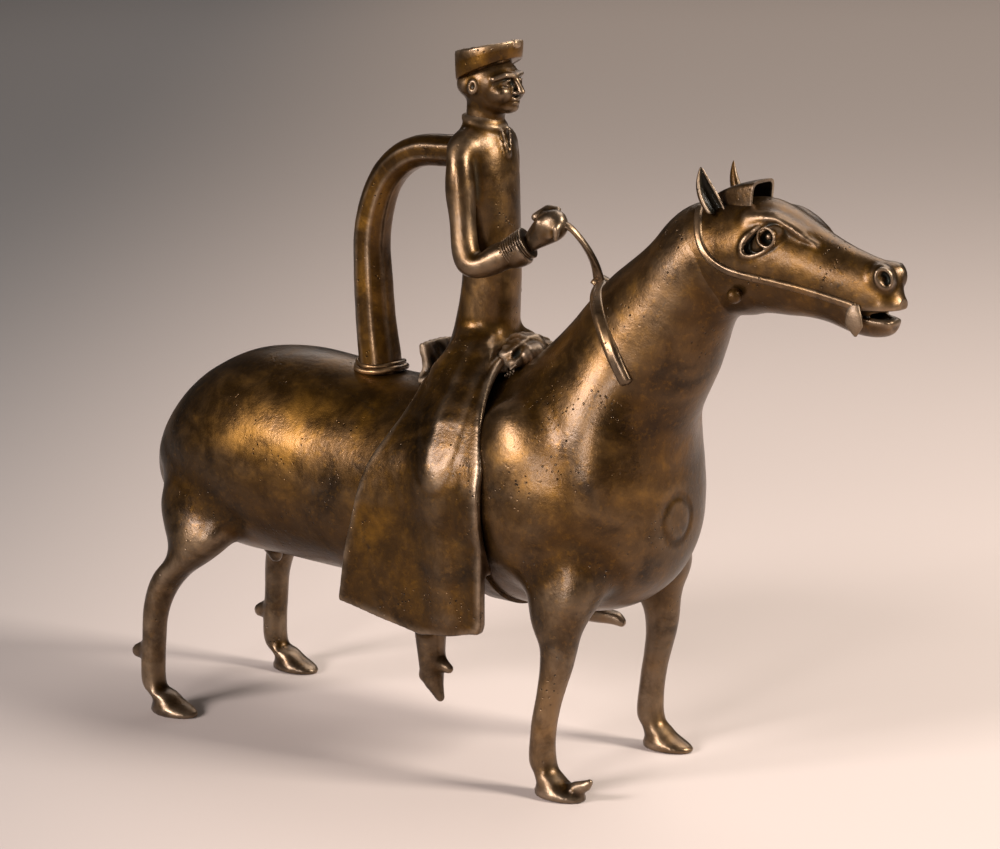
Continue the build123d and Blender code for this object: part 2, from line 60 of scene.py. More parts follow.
# ---- camera
view = {"place": (0.86605, -1.2212, 0.4716), "target": (-0.005, 0.0, 0.1546), "lens": 120.456, "sensor": 36.0}
cameraData = bpy.data.cameras.new("camera")
cameraData.lens = view["lens"]
cameraData.sensor_width = view["sensor"]
cameraData.clip_start, cameraData.clip_end = 0.05, 60.0
camera = bpy.data.objects.new("camera", cameraData)
camera.location = view["place"]
towards = Vector(view["target"]) - Vector(view["place"])
camera.rotation_euler = towards.to_track_quat("-Z", "Y").to_euler()
bpy.context.scene.collection.objects.link(camera)
bpy.context.scene.camera = camera
bpy.context.scene.view_settings.view_transform = "Standard"


# ---- surfaces on a grid
def throughRows(rows, count):
    # natural cubic spline through the rows, spaced by the distance from one to the next
    rows = np.array(rows, float)
    gaps = np.linalg.norm(np.diff(rows, axis=0), axis=1)
    at = np.concatenate([[0], np.cumsum(gaps)])
    size = len(rows)
    inner = np.arange(1, size - 1)
    system, right = np.eye(size), np.zeros(rows.shape)
    system[inner, inner - 1] = gaps[inner - 1]
    system[inner, inner] = 2 * (gaps[inner - 1] + gaps[inner])
    system[inner, inner + 1] = gaps[inner]
    slope = np.diff(rows, axis=0) / gaps[:, None]
    right[inner] = 6 * (slope[inner] - slope[inner - 1])
    bend = np.linalg.solve(system, right)
    where = np.linspace(0, at[-1], count)
    cell = np.clip(np.searchsorted(at, where, "right") - 1, 0, size - 2)
    span = gaps[cell][:, None]
    ahead = (where - at[cell])[:, None] / span
    back = 1 - ahead
    return (back * rows[cell] + ahead * rows[cell + 1]
            + ((back ** 3 - back) * bend[cell] + (ahead ** 3 - ahead) * bend[cell + 1]) * span ** 2 / 6)


def gridFaces(across, around):
    # quads of a grid whose second parameter closes on itself
    row, turn = np.meshgrid(np.arange(across - 1), np.arange(around), indexing="ij")
    nextTurn = (turn + 1) % around
    quads = np.stack([row * around + turn, row * around + nextTurn,
                      (row + 1) * around + nextTurn, (row + 1) * around + turn], -1)
    return quads.reshape(-1, 4)


def closedSkin(rings):
    # rings along a form, joined by quads, with a fan to the middle of each end ring
    across, around = rings.shape[:2]
    points = np.concatenate([rings.reshape(-1, 3), rings[0].mean(0)[None], rings[-1].mean(0)[None]])
    quads = gridFaces(across, around)
    turn = np.arange(around)
    nextTurn = (turn + 1) % around
    first, last = across * around, across * around + 1
    start = np.stack([np.full(around, first), nextTurn, turn], -1)
    base = (across - 1) * around
    end = np.stack([np.full(around, last), base + turn, base + nextTurn], -1)
    triangles = np.concatenate([quads[:, [0, 1, 2]], quads[:, [0, 2, 3]], start, end])
    return points, quads, np.concatenate([start, end]), triangles


def crossRings(rows, around, low):
    # ovals across the middle plane: rows of upper x, z, lower x, z and half width; low widens the lower half
    turn = np.linspace(0, 2 * np.pi, around, endpoint=False)[None, :, None]
    upper = np.stack([rows[:, 0], 0 * rows[:, 0], rows[:, 1]], -1)[:, None]
    lower = np.stack([rows[:, 2], 0 * rows[:, 0], rows[:, 3]], -1)[:, None]
    out = rows[:, 4][:, None, None] * np.sin(turn) * (1 - low[:, None, None] * np.cos(turn))
    return (upper + lower) / 2 + (upper - lower) / 2 * np.cos(turn) + out * np.array([0, 1, 0])


def pathFrames(path):
    # direction, side and rise at each point of a path, the side kept as level as the path allows
    along = np.gradient(path, axis=0)
    along /= np.linalg.norm(along, axis=1)[:, None]
    side = np.cross(along, np.array([0.0, 0.0, 1.0]) + 0 * along)
    flat = np.linalg.norm(side, axis=1) < 0.15
    side[flat] = np.cross(along[flat], np.array([1.0, 0.0, 0.0]))
    side /= np.linalg.norm(side, axis=1)[:, None]
    return along, side, np.cross(side, along)


def carriedProfile(path, widths, heights, profile, side=None, rise=None):
    # a closed profile carried along a path: point = path + side * width * u + rise * height * v
    along, ownSide, ownRise = pathFrames(path)
    side = ownSide if side is None else side
    rise = ownRise if rise is None else rise
    return (path[:, None] + side[:, None] * (widths[:, None] * profile[None, :, 0])[..., None]
            + rise[:, None] * (heights[:, None] * profile[None, :, 1])[..., None])


def roundProfile(count):
    turn = np.linspace(0, 2 * np.pi, count, endpoint=False)
    return np.stack([np.cos(turn), np.sin(turn)], -1)


# ---- clay: forms melted together on a block of distances, then turned into a skin
def newBlock(low, high, step):
    low, high = np.array(low, float), np.array(high, float)
    shape = tuple(int(n) for n in np.ceil((high - low) / step) + 1)
    x, y, z = (low[i] + step * np.arange(shape[i], dtype=np.float32) for i in range(3))
    return {"low": low, "step": step, "shape": shape, "reach": 9.0,
            "x": x[:, None, None].astype(np.float32), "y": y[None, :, None].astype(np.float32),
            "z": z[None, None, :].astype(np.float32)}


def solidField(block, points, triangles):
    # distance to a closed mesh in millimetres, below zero inside, flat beyond the reach
    spots = ((points - block["low"]) / block["step"]).astype(np.float32)
    grid = openvdb.FloatGrid.createLevelSetFromPolygons(
        np.ascontiguousarray(spots), triangles=np.ascontiguousarray(triangles, dtype=np.uint32),
        transform=openvdb.createLinearTransform(1.0), halfWidth=block["reach"])
    field = np.full(block["shape"], block["reach"], np.float32)
    grid.copyToArray(field)
    return field * np.float32(block["step"])


def nodeMesh(name):
    # corners and triangles of a CAD node, in the figure's millimetres
    mesh = frame["nodes"][name].data
    points = np.empty(len(mesh.vertices) * 3, np.float32)
    mesh.vertices.foreach_get("co", points)
    mesh.calc_loop_triangles()
    triangles = np.empty(len(mesh.loop_triangles) * 3, np.int32)
    mesh.loop_triangles.foreach_get("vertices", triangles)
    return points.reshape(-1, 3).astype(float) * 1000 - figureShift, triangles.reshape(-1, 3)


def nodeField(block, name):
    return solidField(block, *nodeMesh(name))


def melt(a, b, radius):
    # smooth least of two distances: they run together over the radius
    share = np.clip(0.5 + 0.5 * (b - a) / radius, 0, 1)
    return b * (1 - share) + a * share - radius * share * (1 - share)


def carve(a, cutter, radius):
    return -melt(-a, cutter, radius)


def lump(block, centre, radii, turn=0.0, both=False):
    # ellipsoid, turned in the side plane by turn degrees; both mirrors it to the left side
    y = np.abs(block["y"]) if both else block["y"]
    c, s = math.cos(math.radians(turn)), math.sin(math.radians(turn))
    dx, dy, dz = block["x"] - centre[0], y - centre[1], block["z"] - centre[2]
    u, w = dx * c + dz * s, dz * c - dx * s
    near = np.sqrt((u / radii[0]) ** 2 + (dy / radii[1]) ** 2 + (w / radii[2]) ** 2)
    slope = np.sqrt((u / radii[0] ** 2) ** 2 + (dy / radii[1] ** 2) ** 2 + (w / radii[2] ** 2) ** 2)
    return (near * (near - 1) / np.maximum(slope, 1e-6)).astype(np.float32)


def rod(block, start, end, startRadius, endRadius, both=False):
    # distance to a straight rod with round ends that tapers evenly
    y = np.abs(block["y"]) if both else block["y"]
    a, b = np.array(start, float), np.array(end, float)
    run = b - a
    dx, dy, dz = block["x"] - a[0], y - a[1], block["z"] - a[2]
    share = np.clip((dx * run[0] + dy * run[1] + dz * run[2]) / (run @ run), 0, 1)
    far = np.sqrt((dx - share * run[0]) ** 2 + (dy - share * run[1]) ** 2 + (dz - share * run[2]) ** 2)
    return (far - (startRadius + (endRadius - startRadius) * share)).astype(np.float32)


def soften(field, passes):
    # each pass averages a cell with its neighbours, one quarter, one half, one quarter along each axis
    for _ in range(passes):
        for axis in range(3):
            moved = np.pad(field, [(1, 1) if i == axis else (0, 0) for i in range(3)], mode="edge")
            ahead = np.take(moved, range(2, moved.shape[axis]), axis)
            back = np.take(moved, range(0, moved.shape[axis] - 2), axis)
            field = field * 0.5 + (ahead + back) * 0.25
    return field.astype(np.float32)


def skinOf(block, field):
    # quads where the distance is zero
    grid = openvdb.FloatGrid(float(block["reach"]))
    grid.copyFromArray(np.ascontiguousarray(field, dtype=np.float32))
    points, quads = grid.convertToQuads(0.0)
    points = block["low"] + points.astype(float) * block["step"]
    quads = quads.astype(np.int64)
    a, b, c = points[quads[:, 0]], points[quads[:, 1]], points[quads[:, 2]]
    if np.einsum("ij,ij->i", a, np.cross(b - a, c - a)).sum() < 0:
        quads = quads[:, ::-1]
    return points, quads


def edgesOf(quads, count):
    sides = np.concatenate([quads[:, [0, 1]], quads[:, [1, 2]], quads[:, [2, 3]], quads[:, [3, 0]]])
    sides.sort(axis=1)
    keys = np.unique(sides[:, 0] * count + sides[:, 1])
    return np.stack([keys // count, keys % count], -1)


def neighbourMean(values, edges, degree):
    sums = np.empty_like(values)
    for column in range(values.shape[1]):
        sums[:, column] = (np.bincount(edges[:, 0], values[edges[:, 1], column], len(values))
                           + np.bincount(edges[:, 1], values[edges[:, 0], column], len(values)))
    return sums / degree


def relax(points, edges, degree, passes):
    # each pass draws a point to its neighbours and pushes it back a little further, so the size stays
    for _ in range(passes):
        for pull in (0.5, -0.53):
            points = points + pull * (neighbourMean(points, edges, degree) - points)
    return points


def normalsOf(points, quads):
    face = np.cross(points[quads[:, 2]] - points[quads[:, 0]], points[quads[:, 3]] - points[quads[:, 1]])
    total = np.zeros_like(points)
    for corner in range(4):
        for axis in range(3):
            total[:, axis] += np.bincount(quads[:, corner], face[:, axis], len(points))
    return total / np.maximum(np.linalg.norm(total, axis=1), 1e-9)[:, None]


def waves(points, length, seed, count=7):
    # sum of plane waves of about one length in seeded directions, from -1 to 1
    draw = np.random.default_rng(seed)
    ways = draw.normal(size=(count, 3))
    ways /= np.linalg.norm(ways, axis=1)[:, None]
    rates = 2 * np.pi / (length * draw.uniform(0.7, 1.5, count))
    starts = draw.uniform(0, 2 * np.pi, count)
    return np.sin(points @ (ways * rates[:, None]).T + starts).mean(1) * 1.6


def addPiece(name, points, faces, material, nodes, attributes=None, sharp=None):
    mesh = bpy.data.meshes.new(name)
    rows = np.clip((points + figureShift) / 1000, cadBox[0], cadBox[1])
    mesh.from_pydata([], [], [])
    mesh.vertices.add(len(rows))
    mesh.vertices.foreach_set("co", rows.astype(np.float32).ravel())
    corners = np.concatenate([part.ravel() for part in faces])
    sizes = np.concatenate([np.full(len(part), part.shape[1]) for part in faces])
    mesh.loops.add(len(corners))
    mesh.loops.foreach_set("vertex_index", corners.astype(np.int32))
    mesh.polygons.add(len(sizes))
    mesh.polygons.foreach_set("loop_start", (np.cumsum(sizes) - sizes).astype(np.int32))
    mesh.polygons.foreach_set("loop_total", sizes.astype(np.int32))
    mesh.update(calc_edges=True)
    mesh.validate()
    for key, values in (attributes or {}).items():
        store = mesh.attributes.new(key, "FLOAT", "POINT")
        store.data.foreach_set("value", values.astype(np.float32))
    mesh.shade_smooth()
    if sharp is not None:
        mesh.set_sharp_from_angle(angle=math.radians(sharp))
    piece = bpy.data.objects.new(name, mesh)
    bpy.context.scene.collection.objects.link(piece)
    mesh.materials.append(material)
    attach(piece, "root")
    if nodes:
        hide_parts(*nodes)
    return piece


def clayPiece(name, block, field, material, nodes, dents, passes=3):
    # skin of the block, with long shallow dents along its normals, and where it is worn or hollow
    points, quads = skinOf(block, field)
    edges = edgesOf(quads, len(points))
    degree = np.bincount(edges.ravel(), minlength=len(points))[:, None].astype(float)
    points = relax(points, edges, degree, passes)
    normals = normalsOf(points, quads)
    for length, depth, seed in dents:
        points = points + normals * (depth * waves(points, length, seed))[:, None]
    broad = points
    for _ in range(6):
        broad = neighbourMean(broad, edges, degree)
    bulge = np.einsum("ij,ij->i", points - broad, normals)[:, None]
    for _ in range(3):
        bulge = neighbourMean(bulge, edges, degree)
    bulge = bulge[:, 0] / block["step"]
    piece = addPiece(name, points, [quads], material, nodes,
                     {"wear": np.clip(bulge * 3.0, 0, 1), "hollow": np.clip(-bulge * 3.0, 0, 1)})
    print("made", name, len(points), "points", 2 * len(quads), "triangles")
    return piece


def window(block, low, high):
    # the part of a block between two corners, with its place in the block
    cut = []
    part = {"low": block["low"].copy(), "step": block["step"], "reach": block["reach"]}
    for axis, key in enumerate("xyz"):
        first = max(int(math.floor((low[axis] - block["low"][axis]) / block["step"])), 0)
        last = min(int(math.ceil((high[axis] - block["low"][axis]) / block["step"])) + 1, block["shape"][axis])
        cut.append(slice(first, last))
        part["low"][axis] += first * block["step"]
        part[key] = block[key][tuple(slice(first, last) if i == axis else slice(None) for i in range(3))]
    part["cut"] = tuple(cut)
    part["shape"] = tuple(s.stop - s.start for s in cut)
    return part


def string(part, points, radii, both=True):
    # rods from point to point
    field = None
    for index in range(len(points) - 1):
        one = rod(part, points[index], points[index + 1], radii[index], radii[index + 1], both)
        field = one if field is None else np.minimum(field, one)
    return field


def surfaceY(block, field, spots):
    # how far out the skin is at a height and length: the outermost inside cell on the left side
    ix = np.rint((spots[:, 0] - block["low"][0]) / block["step"]).astype(int)
    iz = np.rint((spots[:, 1] - block["low"][2]) / block["step"]).astype(int)
    rows = field[ix, :, iz]
    last = rows.shape[1] - 1 - np.argmax((rows < 0)[:, ::-1], axis=1)
    inner = rows[np.arange(len(rows)), last]
    outer = rows[np.arange(len(rows)), np.minimum(last + 1, rows.shape[1] - 1)]
    return block["low"][1] + block["step"] * (last + inner / np.minimum(inner - outer, -1e-6))


# ---- bronze
def link(tree, source, target):
    tree.links.new(source, target)


def noiseNode(tree, place, scale, detail, rough, distort=0.0):
    node = tree.nodes.new("ShaderNodeTexNoise")
    node.inputs["Scale"].default_value = scale
    node.inputs["Detail"].default_value = detail
    node.inputs["Roughness"].default_value = rough
    node.inputs["Distortion"].default_value = distort
    link(tree, place, node.inputs["Vector"])
    return node.outputs["Fac"]


def rangeNode(tree, value, low, high, toLow=0.0, toHigh=1.0):
    node = tree.nodes.new("ShaderNodeMapRange")
    node.interpolation_type = "SMOOTHSTEP"
    for key, number in (("From Min", low), ("From Max", high), ("To Min", toLow), ("To Max", toHigh)):
        node.inputs[key].default_value = number
    link(tree, value, node.inputs["Value"])
    return node.outputs["Result"]


def mathNode(tree, kind, first, second):
    node = tree.nodes.new("ShaderNodeMath")
    node.operation = kind
    for index, value in enumerate((first, second)):
        if isinstance(value, (int, float)):
            node.inputs[index].default_value = value
        else:
            link(tree, value, node.inputs[index])
    return node.outputs[0]


def blendColour(tree, share, first, second):
    node = tree.nodes.new("ShaderNodeMix")
    node.data_type = "RGBA"
    for socket, value in (("Factor", share), ("A", first), ("B", second)):
        plug = next(s for s in node.inputs if s.name == socket and s.enabled)
        if isinstance(value, tuple):
            plug.default_value = (*value, 1.0)
        elif isinstance(value, float):
            plug.default_value = value
        else:
            link(tree, value, plug)
    return next(s for s in node.outputs if s.enabled)


def attributeNode(tree, name):
    node = tree.nodes.new("ShaderNodeAttribute")
    node.attribute_name = name
    return node.outputs["Fac"]


bronzeLook = {"deep": (0.0190, 0.0085, 0.0014), "brown": (0.060, 0.0265, 0.0030), "warm": (0.170, 0.0760, 0.0055),
              "rubbed": (0.55, 0.42, 0.30), "black": (0.0045, 0.0038, 0.0030), "green": (0.009, 0.0110, 0.0080)}


def bronze(name, warmth, soot, rubbing, roughness, pitting, grain):
    # brown patina in three tones, sooty blotches, rubbed edges, dark hollows and fine casting pits
    material = bpy.data.materials.new(name)
    material.use_nodes = True
    tree = material.node_tree
    tree.nodes.clear()
    out = tree.nodes.new("ShaderNodeOutputMaterial")
    shader = tree.nodes.new("ShaderNodeBsdfPrincipled")
    place = tree.nodes.new("ShaderNodeTexCoord").outputs["Object"]
    wear, hollow = attributeNode(tree, "wear"), attributeNode(tree, "hollow")
    broad = noiseNode(tree, place, 17.0, 4.0, 0.62, 0.6)
    middle = noiseNode(tree, place, 62.0, 5.0, 0.66, 0.4)
    fine = noiseNode(tree, place, 340.0, 4.0, 0.7)
    tone = mathNode(tree, "ADD", mathNode(tree, "MULTIPLY", broad, 0.62), mathNode(tree, "MULTIPLY", middle, 0.38))
    colour = blendColour(tree, rangeNode(tree, tone, 0.36, 0.53), bronzeLook["deep"], bronzeLook["brown"])
    colour = blendColour(tree, rangeNode(tree, tone, 0.52 - warmth, 0.70 - warmth), colour, bronzeLook["warm"])
    blot = noiseNode(tree, place, 33.0, 6.0, 0.72, 1.1)
    spots = mathNode(tree, "MULTIPLY", rangeNode(tree, blot, 0.60 - soot, 0.70 - soot),
                     rangeNode(tree, fine, 0.35, 0.6, 0.45, 1.0))
    colour = blendColour(tree, mathNode(tree, "MULTIPLY", spots, 0.85), colour, bronzeLook["black"])
    grainShare = mathNode(tree, "MULTIPLY", rangeNode(tree, fine, 0.5, 0.72), 0.35)
    colour = blendColour(tree, grainShare, colour, bronzeLook["warm"])
    rub = mathNode(tree, "MULTIPLY", wear, rangeNode(tree, middle, 0.35, 0.62, 0.35, 1.0))
    colour = blendColour(tree, mathNode(tree, "MULTIPLY", rub, rubbing), colour, bronzeLook["rubbed"])
    colour = blendColour(tree, mathNode(tree, "MULTIPLY", hollow, 0.9), colour, bronzeLook["green"])
    shader.inputs["Metallic"].default_value = 0.86
    shader.inputs["Coat Weight"].default_value = 0.15
    shader.inputs["Coat Roughness"].default_value = 0.2
    gloss = mathNode(tree, "ADD", rangeNode(tree, middle, 0.3, 0.7, roughness - 0.05, roughness + 0.09),
                     mathNode(tree, "MULTIPLY", hollow, 0.25))
    gloss = mathNode(tree, "ADD", gloss, mathNode(tree, "MULTIPLY", spots, 0.16))
    link(tree, gloss, shader.inputs["Roughness"])
    pits = tree.nodes.new("ShaderNodeTexVoronoi")
    pits.inputs["Scale"].default_value = 400.0
    pits.inputs["Randomness"].default_value = 1.0
    link(tree, place, pits.inputs["Vector"])
    where = rangeNode(tree, noiseNode(tree, place, 48.0, 3.0, 0.6), 0.52, 0.66)
    hole = mathNode(tree, "MULTIPLY", rangeNode(tree, pits.outputs["Distance"], 0.10, 0.24, 1.0, 0.0), where)
    colour = blendColour(tree, mathNode(tree, "MULTIPLY", hole, 0.8), colour, bronzeLook["black"])
    link(tree, colour, shader.inputs["Base Color"])
    height = mathNode(tree, "SUBTRACT", mathNode(tree, "MULTIPLY", fine, grain),
                      mathNode(tree, "MULTIPLY", hole, pitting))
    height = mathNode(tree, "ADD", height, mathNode(tree, "MULTIPLY", middle, 0.35))
    bump = tree.nodes.new("ShaderNodeBump")
    bump.inputs["Strength"].default_value = 0.55
    bump.inputs["Distance"].default_value = 0.0007
    link(tree, height, bump.inputs["Height"])
    link(tree, bump.outputs["Normal"], shader.inputs["Normal"])
    link(tree, bump.outputs["Normal"], shader.inputs["Coat Normal"])
    link(tree, shader.outputs["BSDF"], out.inputs["Surface"])
    return material


finishes = {"bronze": bronze("bronzeBody", 0.02, 0.0, 0.35, 0.34, 0.9, 0.35),
            "bronze_worn": bronze("bronzeWorn", 0.06, -0.02, 0.55, 0.31, 0.7, 0.3),
            "bronze_dark": bronze("bronzeDark", -0.08, 0.09, 0.5, 0.42, 1.6, 0.9)}
slotOf = {row["node"]: row["material_slot"] for row in frame["record"]["subparts"]}
for nodeName, node in frame["nodes"].items():
    node.data.materials.clear()
    node.data.materials.append(finishes[slotOf[nodeName]])
print("made finishes")


# ---- horse: one skin of ovals from the rump to the muzzle
horse = {"rumpRear": -189.3, "rumpDepth": 76.8, "rumpTop": 180.5, "rumpFloor": 79.5, "rumpDrop": 12.0,
         "rumpWidth": 48.5, "bodyStep": 1.2, "headStep": 0.5, "legMelt": 8.0,
         "seamPoint": (123.0, 244.25), "seamWay": (0.924, 0.381), "seamDepth": 9.0}
shares = np.array([0.0004, 0.006, 0.02, 0.045, 0.085, 0.14, 0.21, 0.3, 0.41, 0.54, 0.7, 0.86])
sizes = np.sqrt(1 - (1 - shares) ** 2)
rumpX = horse["rumpRear"] + horse["rumpDepth"] * shares
rumpMiddle = (horse["rumpTop"] + horse["rumpFloor"]) / 2 - horse["rumpDrop"] * (1 - shares) ** 2
rumpHalf = (horse["rumpTop"] - horse["rumpFloor"]) / 2 * sizes
rumpRows = np.stack([rumpX, rumpMiddle + rumpHalf, rumpX, rumpMiddle - rumpHalf, horse["rumpWidth"] * sizes,
                     0 * sizes], -1)
bodyRows = np.array([
    (-112.5, 180.5, -112.5, 79.5, 48.5, 0), (-76.2, 177.8, -76.2, 77.8, 47.5, 0), (-40, 175, -40, 76, 47.5, 0),
    (0.9, 183.9, 13.1, 78.7, 48.5, 0), (26, 188.8, 78, 82, 50, 0.05), (50, 210.2, 105.5, 111, 43, 0.12),
    (72, 234, 107.2, 164, 30, 0.10), (92.5, 251.2, 121.4, 194.8, 24.2, 0), (113, 268.5, 133, 220, 19.5, 0),
    (127.8, 270.8, 141.5, 221.9, 19.5, 0), (146, 273.5, 150, 223.6, 19.5, 0), (160, 270.3, 160.5, 223.8, 17.2, 0),
    (174, 263.2, 171, 223.9, 14.5, 0), (187, 257.2, 182, 222.2, 12.2, 0), (199, 253, 193, 219, 10.5, 0),
    (207.8, 249.6, 203.4, 218.6, 9.2, 0), (210.6, 245.4, 208.8, 220.0, 7.8, 0),
    (212.6, 240.6, 212.0, 223.3, 5.6, 0), (214.5, 235.2, 214.2, 229.0, 2.6, 0)])
skinRows = throughRows(np.concatenate([rumpRows, bodyRows]), 260)
horseSkin = closedSkin(crossRings(skinRows, 128, skinRows[:, 5]))
horseTriangles = horseSkin[3][:, ::-1]


def seamAhead(block):
    return ((block["x"] - horse["seamPoint"][0]) * horse["seamWay"][0]
            + (block["z"] - horse["seamPoint"][1]) * horse["seamWay"][1])


def makeHorseBody():
    block = newBlock((-196, -60, 0.4), (147, 60, 279), horse["bodyStep"])
    field = solidField(block, horseSkin[0], horseTriangles)
    for name in ("fore_leg_left", "fore_leg_right", "hind_leg_left", "hind_leg_right"):
        leg = nodeField(block, name)
        if name.startswith("hind"):
            leg = leg + 4.5 * np.clip((block["z"] - 92) / 40, 0, 1)
        field = melt(field, leg, horse["legMelt"])
    field = melt(field, lump(block, (47, 36.5, 138), (24, 16.2, 40), 12, True), 9.0)
    part = window(block, (-190, -60, 8), (-150, 60, 50))
    near = field[part["cut"]]
    # fins at the back of the hind legs; the near fore leg's spur is laid on after the chest patch
    near = melt(near, string(part, [(-168, 46.5, 33.5), (-175.0, 46.5, 30.6)], (4.6, 3.7)), 1.5)
    field[part["cut"]] = near
    # round outline of the patch in the chest
    part = window(block, (88, -18, 112), (112, 10, 142))
    near = field[part["cut"]]
    far = np.sqrt((part["y"] + 4) ** 2 + (part["z"] - 127) ** 2) + 0 * part["x"]
    near = carve(near, np.maximum(np.abs(far - 10.2) - 0.6, -(near + 1.4)), 0.8)
    field[part["cut"]] = near
    part = window(block, (74, -60, 1), (100, -20, 30))
    near = field[part["cut"]]
    near = melt(near, string(part, [(80, -44.5, 8), (85.5, -44.5, 10.5), (88.2, -44.5, 13.2)], (3.8, 2.8, 1.6),
                             False), 1.5)
    field[part["cut"]] = near
    # pendant under the belly
    part = window(block, (-150, -14, 64), (-105, 14, 90))
    near = field[part["cut"]]
    near = melt(near, string(part, [(-128, 0, 80), (-126.5, 0, 75.5)], (5.2, 3.2), False), 2.5)
    field[part["cut"]] = near
    ahead = seamAhead(block)
    field = field + 0.02 * np.clip(ahead, 0, None) ** 2
    field = np.maximum(field, ahead - horse["seamDepth"])
    field = soften(field, 1)
    return clayPiece("horse_skin", block, field, finishes["bronze"],
                     ("horse_body", "fore_leg_left", "fore_leg_right", "hind_leg_left", "hind_leg_right",
                      "belly_boss", "chest_plug"), [(34, 0.22, 3), (13, 0.07, 4)])


head = {"eye": (155.6, 258.0), "eyeTilt": 36.0, "eyeLong": 10.6, "eyeHigh": 4.8, "iris": (157.0, 259.0),
        "irisRadius": 4.1}


def almond(centre, long, high, tilt, count, droop=0.8):
    # closed almond in the side plane: long * cos t along, high * sin t across, the lower half flatter
    turn = np.linspace(0, 2 * np.pi, count)
    along, across = long * np.cos(turn), high * np.sin(turn) * np.where(np.sin(turn) < 0, droop, 1.0)
    c, s = math.cos(math.radians(tilt)), math.sin(math.radians(tilt))
    return np.stack([centre[0] + along * c - across * s, centre[1] + along * s + across * c], -1)


def onSkin(block, field, outline, lift):
    out = surfaceY(block, field, outline) + lift
    return np.stack([outline[:, 0], out, outline[:, 1]], -1)


